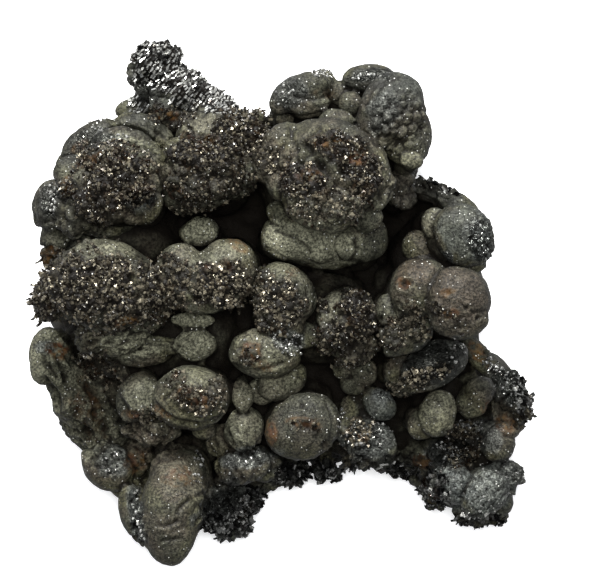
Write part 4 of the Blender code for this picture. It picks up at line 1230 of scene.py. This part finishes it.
class Graph:
    """Adds nodes to one tree and links them as they are made."""

    def __init__(self, tree):
        self.tree = tree

    def add(self, kind, inputs=None, **settings):
        made = self.tree.nodes.new(kind)
        for name, value in settings.items():
            setattr(made, name, value)
        for name, value in (inputs or {}).items():
            self.feed(made.inputs[name], value)
        return made

    def feed(self, socket, value):
        if isinstance(value, bpy.types.NodeSocket):
            self.tree.links.new(value, socket)
        else:
            socket.default_value = value

    def math(self, operation, first, second=0.0):
        made = self.add("ShaderNodeMath", operation=operation)
        self.feed(made.inputs[0], first)
        self.feed(made.inputs[1], second)
        return made.outputs[0]

    def times(self, first, second):
        return self.math("MULTIPLY", first, second)

    def ramp(self, value, low, high, bottom=0.0, top=1.0):
        """value from low to high becomes bottom to top, and stays there outside."""
        ends = {"From Min": low, "From Max": high, "To Min": bottom, "To Max": top}
        return self.add("ShaderNodeMapRange", {"Value": value, **ends}).outputs[0]

    def mix(self, share, first, second, blend="MIX"):
        made = self.add("ShaderNodeMix", data_type="RGBA", blend_type=blend)
        self.feed(made.inputs["Factor"], share)
        self.feed(made.inputs[6], first)
        self.feed(made.inputs[7], second)
        return made.outputs[2]

    def grain(self, size, detail=2.0, roughness=0.5):
        """Noise with lumps of this size in millimetres, fixed to the piece."""
        place = self.add("ShaderNodeTexCoord").outputs["Object"]
        inputs = {"Vector": place, "Scale": 1 / (size * MM), "Detail": detail}
        inputs["Roughness"] = roughness
        return self.add("ShaderNodeTexNoise", inputs).outputs[0]

    def blotches(self, look):
        return self.ramp(self.grain(*look[:3]), *look[3:])

    def cells(self, size):
        """Cells that are about this many millimetres wide, fixed to the piece."""
        place = self.add("ShaderNodeTexCoord").outputs["Object"]
        return self.add("ShaderNodeTexVoronoi", {"Vector": place, "Scale": 1 / (size * MM)})

    def bump(self, height, strength, depth):
        inputs = {"Strength": strength, "Distance": depth * MM, "Height": height}
        return self.add("ShaderNodeBump", inputs).outputs["Normal"]

    def mark(self, name):
        return self.add("ShaderNodeAttribute", attribute_name=name).outputs["Fac"]

    def effect(self, group, inputs):
        return self.add("ShaderNodeGroup", inputs, node_tree=group).outputs[0]


def new_group(name, inputs, outputs):
    tree = bpy.data.node_groups.new(name, "ShaderNodeTree")
    for kind, sockets in (("INPUT", inputs), ("OUTPUT", outputs)):
        for label, socket_type in sockets.items():
            tree.interface.new_socket(label, in_out=kind, socket_type=socket_type)
    graph = Graph(tree)
    return tree, graph, graph.add("NodeGroupInput"), graph.add("NodeGroupOutput")


def new_material(name):
    material = bpy.data.materials.new(name)
    material.use_nodes = True
    return material, Graph(material.node_tree), material.node_tree.nodes["Principled BSDF"]


def grey(value):
    return (value, value, value, 1)


COLOUR, VALUE = "NodeSocketColor", "NodeSocketFloat"
OLIVE = (0.024, 0.024, 0.017, 1)
# a paler olive: the skin's own colour in places and painted light on low heads; it also draws the bulges
# paler
PALE_AND_LIT_OLIVE = (0.081, 0.080, 0.056, 1)
BLUE_GREY = (0.028, 0.032, 0.031, 1)
UMBER = (0.032, 0.025, 0.018, 1)
MOSS = (0.034, 0.033, 0.018, 1)
# near black: the ground under the crystals, and painted shade in the creases and hollows
GRIT_AND_SHADE = (0.006, 0.005, 0.004, 1)
METAL = (0.085, 0.090, 0.084, 1)
BLACKISH = (0.014, 0.014, 0.012, 1)
RUSTY = (0.065, 0.028, 0.014, 1)
OCHRE = (0.105, 0.057, 0.018, 1)
# the colour of the painted glints: pale flecks in the base colour
PAINTED_GLINT = (0.75, 0.75, 0.70, 1)

FLECK_SPACING = 0.5
FLECK_EDGE = (0.32, 0.14)  # distances from its middle where a fleck ends and where it is full
DIMMEST_FLECK = 0.25
SKIN_GLINTS = (0.095, 0.14)  # share of the flecks that paint a glint on velvety and on glossy skin
GRAIN_GLINTS = 0.18  # the same on a crystal

UMBER_BLOTCHES = Blotches(8.0, 2.0, 0.5, 0.42, 0.6, 0.0, 0.6)
MOSS_BLOTCHES = Blotches(11.0, 2.0, 0.5, 0.5, 0.62, 0.0, 0.7)
FINE_MOTTLE = Blotches(0.5, 5.0, 0.75, 0.42, 0.58, 0.35, 1.75)
PATCHY_MOTTLE = Blotches(2.2, 3.0, 0.5, 0.35, 0.65, 0.7, 1.3)
CRAGS = Blotches(1.6, 5.0, 0.65, 0.4, 0.6, 0.0, 1.0)
RUST_SPOTS = Blotches(1.1, 4.0, 0.5, 0.38, 0.62, 0.0, 1.0)
OCHRE_SPOTS = Blotches(2.5, 2.0, 0.5, 0.4, 0.6, 0.0, 1.0)
BROWN_CRYSTALS = Blotches(4.0, 2.0, 0.5, 0.5, 0.75, 0.0, 0.35)
CRYSTAL_ROUGHNESS = Blotches(0.3, 3.0, 0.5, 0.3, 0.7, -0.1, 0.15)

FOLDS = (2.4, 3.0, 0.6)  # the noise whose middle value draws the leathery lines
FOLD_WIDTH = 0.022
FOLD_TONES = (0.0, 1.0, 0.55, 1.04)  # from which values to which, as for the blotches
CRAG_TONES = (0.0, 1.0, 1.3, 0.75)
TURNED_AWAY_SHADE = (0.35, 1.0, 1.0, 0.4)  # painted shade: darker where the skin turns away from the eye
FOLD_HEIGHT = 0.35
CRAG_DEPTH = 3.0
SKIN_BEADS = 0.6  # the size of the finest beads on glossy skin
BEAD_END = 0.6  # where a bead has sunk to the skin, over its size
FINE_GRAIN = (0.42, 3.0)  # size in millimetres and detail
COARSE_GRAIN = (0.9, 2.0)
SKIN_DEPTH = 0.22  # how deep the finest relief looks, in millimetres
CRYSTAL_BUMPS = 0.25  # size of the bumps on a crystal
CRYSTAL_DEPTH = 0.08
CRYSTAL_STRENGTH = 0.5
VELVET, POLISHED, GLINTING = grey(0.55), grey(0.17), grey(0.2)  # as roughness
GLOSS_METALLIC = 0.85
SKIN_SPECULAR = 0.25

# Tints of the skin, one over another: the mark that says where, how strong, and the colour. The pale mark
# is partly the skin's own paler olive and partly painted light on low heads.
TINTS = [
    ("brownish", 1.0, UMBER),
    ("pale", 1.0, PALE_AND_LIT_OLIVE),
    ("bluish", 1.0, BLUE_GREY),
    ("edge", 0.2, PALE_AND_LIT_OLIVE),
    ("gloss", 1.0, METAL),
    ("dark", 1.0, BLACKISH),
]
# The same for what lies over the mottled skin: painted shade in the creases and in the deep hollows, and
# the dark ground under the gritty crystals and the scales.
DARKENED = [
    ("crease", 0.9, GRIT_AND_SHADE),
    ("hollow_shade", 1.0, GRIT_AND_SHADE),
    ("druse", 1.0, GRIT_AND_SHADE),
    ("scales", 1.0, GRIT_AND_SHADE),
]

# The looks of crystals: darkest and palest colour, roughness and how metallic they are.
Looks = namedtuple("Looks", "dark pale roughness metallic")
GRITTY = Looks((0.010, 0.008, 0.006, 1), (0.21, 0.186, 0.135, 1), 0.25, 0.5)
BRIGHT = Looks((0.015, 0.015, 0.015, 1), (0.8, 0.8, 0.76, 1), 0.22, 0.9)


def sparkle_group():
    """Sparse tiny pale flecks that paint glints: the share of the surface that has them."""
    tree, graph, given, out = new_group("painted_sparkle", {"Share": VALUE}, {"Sparkle": VALUE})
    cells = graph.cells(FLECK_SPACING)
    near = graph.ramp(cells.outputs["Distance"], *FLECK_EDGE)
    picked = graph.add("ShaderNodeSeparateColor", {"Color": cells.outputs["Color"]})
    chosen = graph.math("LESS_THAN", picked.outputs[0], given.outputs["Share"])
    brightness = graph.ramp(picked.outputs[1], 0.0, 1.0, DIMMEST_FLECK)
    graph.feed(out.inputs["Sparkle"], graph.times(near, graph.times(chosen, brightness)))
    return tree


def stain_group():
    """Iron brown over a colour, as strong as the amount says, in uneven spots."""
    sockets = {"Color": COLOUR, "Amount": VALUE}
    tree, graph, given, out = new_group("iron_stain", sockets, {"Color": COLOUR})
    amount = graph.times(given.outputs["Amount"], graph.blotches(RUST_SPOTS))
    brown = graph.mix(graph.blotches(OCHRE_SPOTS), RUSTY, OCHRE)
    graph.feed(out.inputs["Color"], graph.mix(amount, given.outputs["Color"], brown))
    return tree


def tinted(graph, colour, tints):
    for name, strength, tint in tints:
        colour = graph.mix(graph.times(graph.mark(name), strength), colour, tint)
    return colour


def leathery_folds(graph):
    """0 on the lines of a leathery skin and 1 between them."""
    from_middle = graph.math("SUBTRACT", graph.grain(*FOLDS), 0.5)
    return graph.ramp(graph.math("ABSOLUTE", from_middle), 0.0, FOLD_WIDTH)


def mottle(graph, folds, crags):
    """How light or dark each spot of the skin is, with 1 for its plain colour; the folds and crags change
    it, and it is darkened as painted shade where the skin turns away from the eye.
    """
    light = graph.times(graph.blotches(FINE_MOTTLE), graph.blotches(PATCHY_MOTTLE))
    facing = graph.add("ShaderNodeLayerWeight").outputs["Facing"]
    for value, tones in ((folds, FOLD_TONES), (crags, CRAG_TONES), (facing, TURNED_AWAY_SHADE)):
        light = graph.times(light, graph.ramp(value, *tones))
    return graph.add("ShaderNodeCombineXYZ", {"X": light, "Y": light, "Z": light}).outputs[0]


def skin_height(graph, gloss, folds, crags):
    """The finest relief: grain, folds and crags, and small beads where it is glossy."""
    away = graph.cells(SKIN_BEADS).outputs["Distance"]
    beads = graph.times(graph.ramp(away, 0.0, BEAD_END, 1.0, 0.0), gloss)
    height = graph.math("ADD", graph.grain(*FINE_GRAIN), graph.grain(*COARSE_GRAIN))
    height = graph.math("ADD", height, beads)
    height = graph.math("ADD", height, graph.times(folds, FOLD_HEIGHT))
    return graph.math("SUBTRACT", height, graph.times(crags, CRAG_DEPTH))


def goethite_skin(painted_sparkle, stain):
    """The velvety skin of the heads, darker under the grit and stained in places, with painted shade in its
    creases and hollows and painted glints.
    """
    material, graph, shader = new_material("goethite_skin")
    gloss = graph.mark("gloss")
    share = graph.ramp(gloss, 0.0, 1.0, *SKIN_GLINTS)
    share = graph.math("SUBTRACT", share, graph.mark("hollow_shade"))
    painted_glints = graph.effect(painted_sparkle, {"Share": share})
    folds = leathery_folds(graph)
    crags = graph.times(graph.mark("rough"), graph.blotches(CRAGS))

    colour = graph.mix(graph.blotches(UMBER_BLOTCHES), OLIVE, UMBER)
    colour = graph.mix(graph.blotches(MOSS_BLOTCHES), colour, MOSS)
    colour = tinted(graph, colour, TINTS)
    colour = graph.mix(1.0, colour, mottle(graph, folds, crags), "MULTIPLY")
    colour = tinted(graph, colour, DARKENED)
    colour = graph.effect(stain, {"Color": colour, "Amount": graph.mark("rust")})
    polish = graph.mix(painted_glints, graph.mix(gloss, VELVET, POLISHED), GLINTING)
    height = skin_height(graph, gloss, folds, crags)

    graph.feed(shader.inputs["Base Color"], graph.mix(painted_glints, colour, PAINTED_GLINT))
    graph.feed(shader.inputs["Roughness"], polish)
    graph.feed(shader.inputs["Metallic"], graph.times(gloss, GLOSS_METALLIC))
    graph.feed(shader.inputs["Normal"], graph.bump(height, 1.0, SKIN_DEPTH))
    shader.inputs["Specular IOR Level"].default_value = SKIN_SPECULAR
    return material


def grain_material(name, looks, painted_sparkle, stain):
    """Crystals from dark to pale, each with its own tone, and some of them brown, with painted glints."""
    material, graph, shader = new_material(name)
    colour = graph.mix(graph.mark("tone"), looks.dark, looks.pale)
    brown = graph.blotches(BROWN_CRYSTALS)
    colour = graph.effect(stain, {"Color": colour, "Amount": brown})
    painted_glints = graph.effect(painted_sparkle, {"Share": GRAIN_GLINTS})
    polish = graph.math("ADD", graph.blotches(CRYSTAL_ROUGHNESS), looks.roughness)
    normal = graph.bump(graph.grain(CRYSTAL_BUMPS), CRYSTAL_STRENGTH, CRYSTAL_DEPTH)
    graph.feed(shader.inputs["Base Color"], graph.mix(painted_glints, colour, PAINTED_GLINT))
    graph.feed(shader.inputs["Roughness"], polish)
    graph.feed(shader.inputs["Normal"], normal)
    shader.inputs["Metallic"].default_value = looks.metallic
    return material


def make_specimen():
    """The surfaces first, then each kind of crystal on them, with one row of random draws."""
    random = np.random.default_rng(RANDOM_SEED)
    painted_sparkle, stain = sparkle_group(), stain_group()
    skin = goethite_skin(painted_sparkle, stain)
    gritty = grain_material("druse_grain", GRITTY, painted_sparkle, stain)
    bright = grain_material("bright_facet", BRIGHT, painted_sparkle, stain)
    surfaces = [
        make_surface(name, head_shapes(heads), HEAD_SUBDIVISIONS, HEAD_VOXEL, skin)
        for name, heads in SURFACE_PIECES.items()
    ]
    stalks = make_surface(CRUST_PIECE, stalk_shapes(), STALK_SUBDIVISIONS, STALK_VOXEL, skin)
    surfaces.append(stalks)
    found = crystal_places(surfaces, random)
    make_druse(*found["druse"], gritty, random)
    surface = np.concatenate([points for points, _, _ in surfaces])
    make_bright_crystals(*found["shine"], surface, bright, random)
    make_scales(surfaces, bright, random)
    make_sprays(*found["spray"], gritty, random)
    make_rim_crystals(found["rim"][0], bright, random)


PHOTO_MIDDLE = (0.0042, 0.0023)  # the point of the frame in the middle of the photo
PHOTO_WIDTH = 0.120
CAMERA_DISTANCE = 2.0
CAMERA_REACH = 10.0
SENSOR_WIDTH = 36.0
MIDDLE_HEIGHT = 0.03

# A soft light: its place, width, power and colour, and whether shiny spots mirror it.
Light = namedtuple("Light", "name place width power colour mirrored")
LIGHTS = [
    Light("window", (-0.12, 0.95, 0.85), 0.3, 32, (1.0, 0.99, 0.96), True),
    Light("overhead", (0.0, 0.12, 2.4), 0.6, 61, (0.98, 0.99, 1.0), False),
]
TENT_COLOUR = (0.96, 0.98, 1.0, 1)
TENT_STRENGTHS = (-0.4, 0.9, 0.06, 1.0)  # from which northward values to which strengths
FLOOR_HALF_WIDTH = 2.0
FLOOR_ROUGHNESS = 0.9
FLOOR_COLOURS = (grey(0.3), grey(0.95))  # for the light that it throws back, and for the eye
FLOOR_GLOWS = (grey(0.0), grey(0.4))


def make_camera():
    data = bpy.data.cameras.new("camera")
    data.sensor_width = SENSOR_WIDTH
    data.lens = SENSOR_WIDTH * CAMERA_DISTANCE / PHOTO_WIDTH
    data.clip_end = CAMERA_REACH
    camera = added("camera", data)
    camera.location = (*PHOTO_MIDDLE, MIDDLE_HEIGHT + CAMERA_DISTANCE)
    bpy.context.scene.camera = camera


def make_light(name, place, width, power, colour, mirrored):
    """A square light that is aimed at the specimen's middle."""
    data = bpy.data.lights.new(name, "AREA")
    data.shape = "SQUARE"
    data.size = width
    data.energy = power
    data.color = colour
    light = added(name, data)
    light.visible_glossy = mirrored
    light.location = place
    way = Vector((0, 0, MIDDLE_HEIGHT)) - Vector(place)
    light.rotation_euler = way.to_track_quat("-Z", "Y").to_euler()


def make_floor():
    bm = bmesh.new()
    bmesh.ops.create_grid(bm, x_segments=1, y_segments=1, size=FLOOR_HALF_WIDTH)
    mesh = bpy.data.meshes.new("floor")
    bm.to_mesh(mesh)
    bm.free()
    material, graph, shader = new_material("floor")
    seen = graph.add("ShaderNodeLightPath").outputs["Is Camera Ray"]
    graph.feed(shader.inputs["Base Color"], graph.mix(seen, *FLOOR_COLOURS))
    graph.feed(shader.inputs["Emission Color"], graph.mix(seen, *FLOOR_GLOWS))
    shader.inputs["Emission Strength"].default_value = 1.0
    shader.inputs["Roughness"].default_value = FLOOR_ROUGHNESS
    mesh.materials.append(material)
    floor = added("floor", mesh)


def make_tent():
    """Pale surroundings, brightest towards the window side."""
    world = bpy.data.worlds.new("studio")
    world.use_nodes = True
    graph = Graph(world.node_tree)
    way = graph.add("ShaderNodeTexCoord").outputs["Generated"]
    north = graph.add("ShaderNodeSeparateXYZ", {"Vector": way}).outputs["Y"]
    backdrop = world.node_tree.nodes["Background"]
    backdrop.inputs["Color"].default_value = TENT_COLOUR
    graph.feed(backdrop.inputs["Strength"], graph.ramp(north, *TENT_STRENGTHS))
    return world


def make_studio():
    make_floor()
    make_camera()
    for light in LIGHTS:
        make_light(*light)
    bpy.context.scene.world = make_tent()
    bpy.context.scene.view_settings.view_transform = "Standard"


make_specimen()
make_studio()
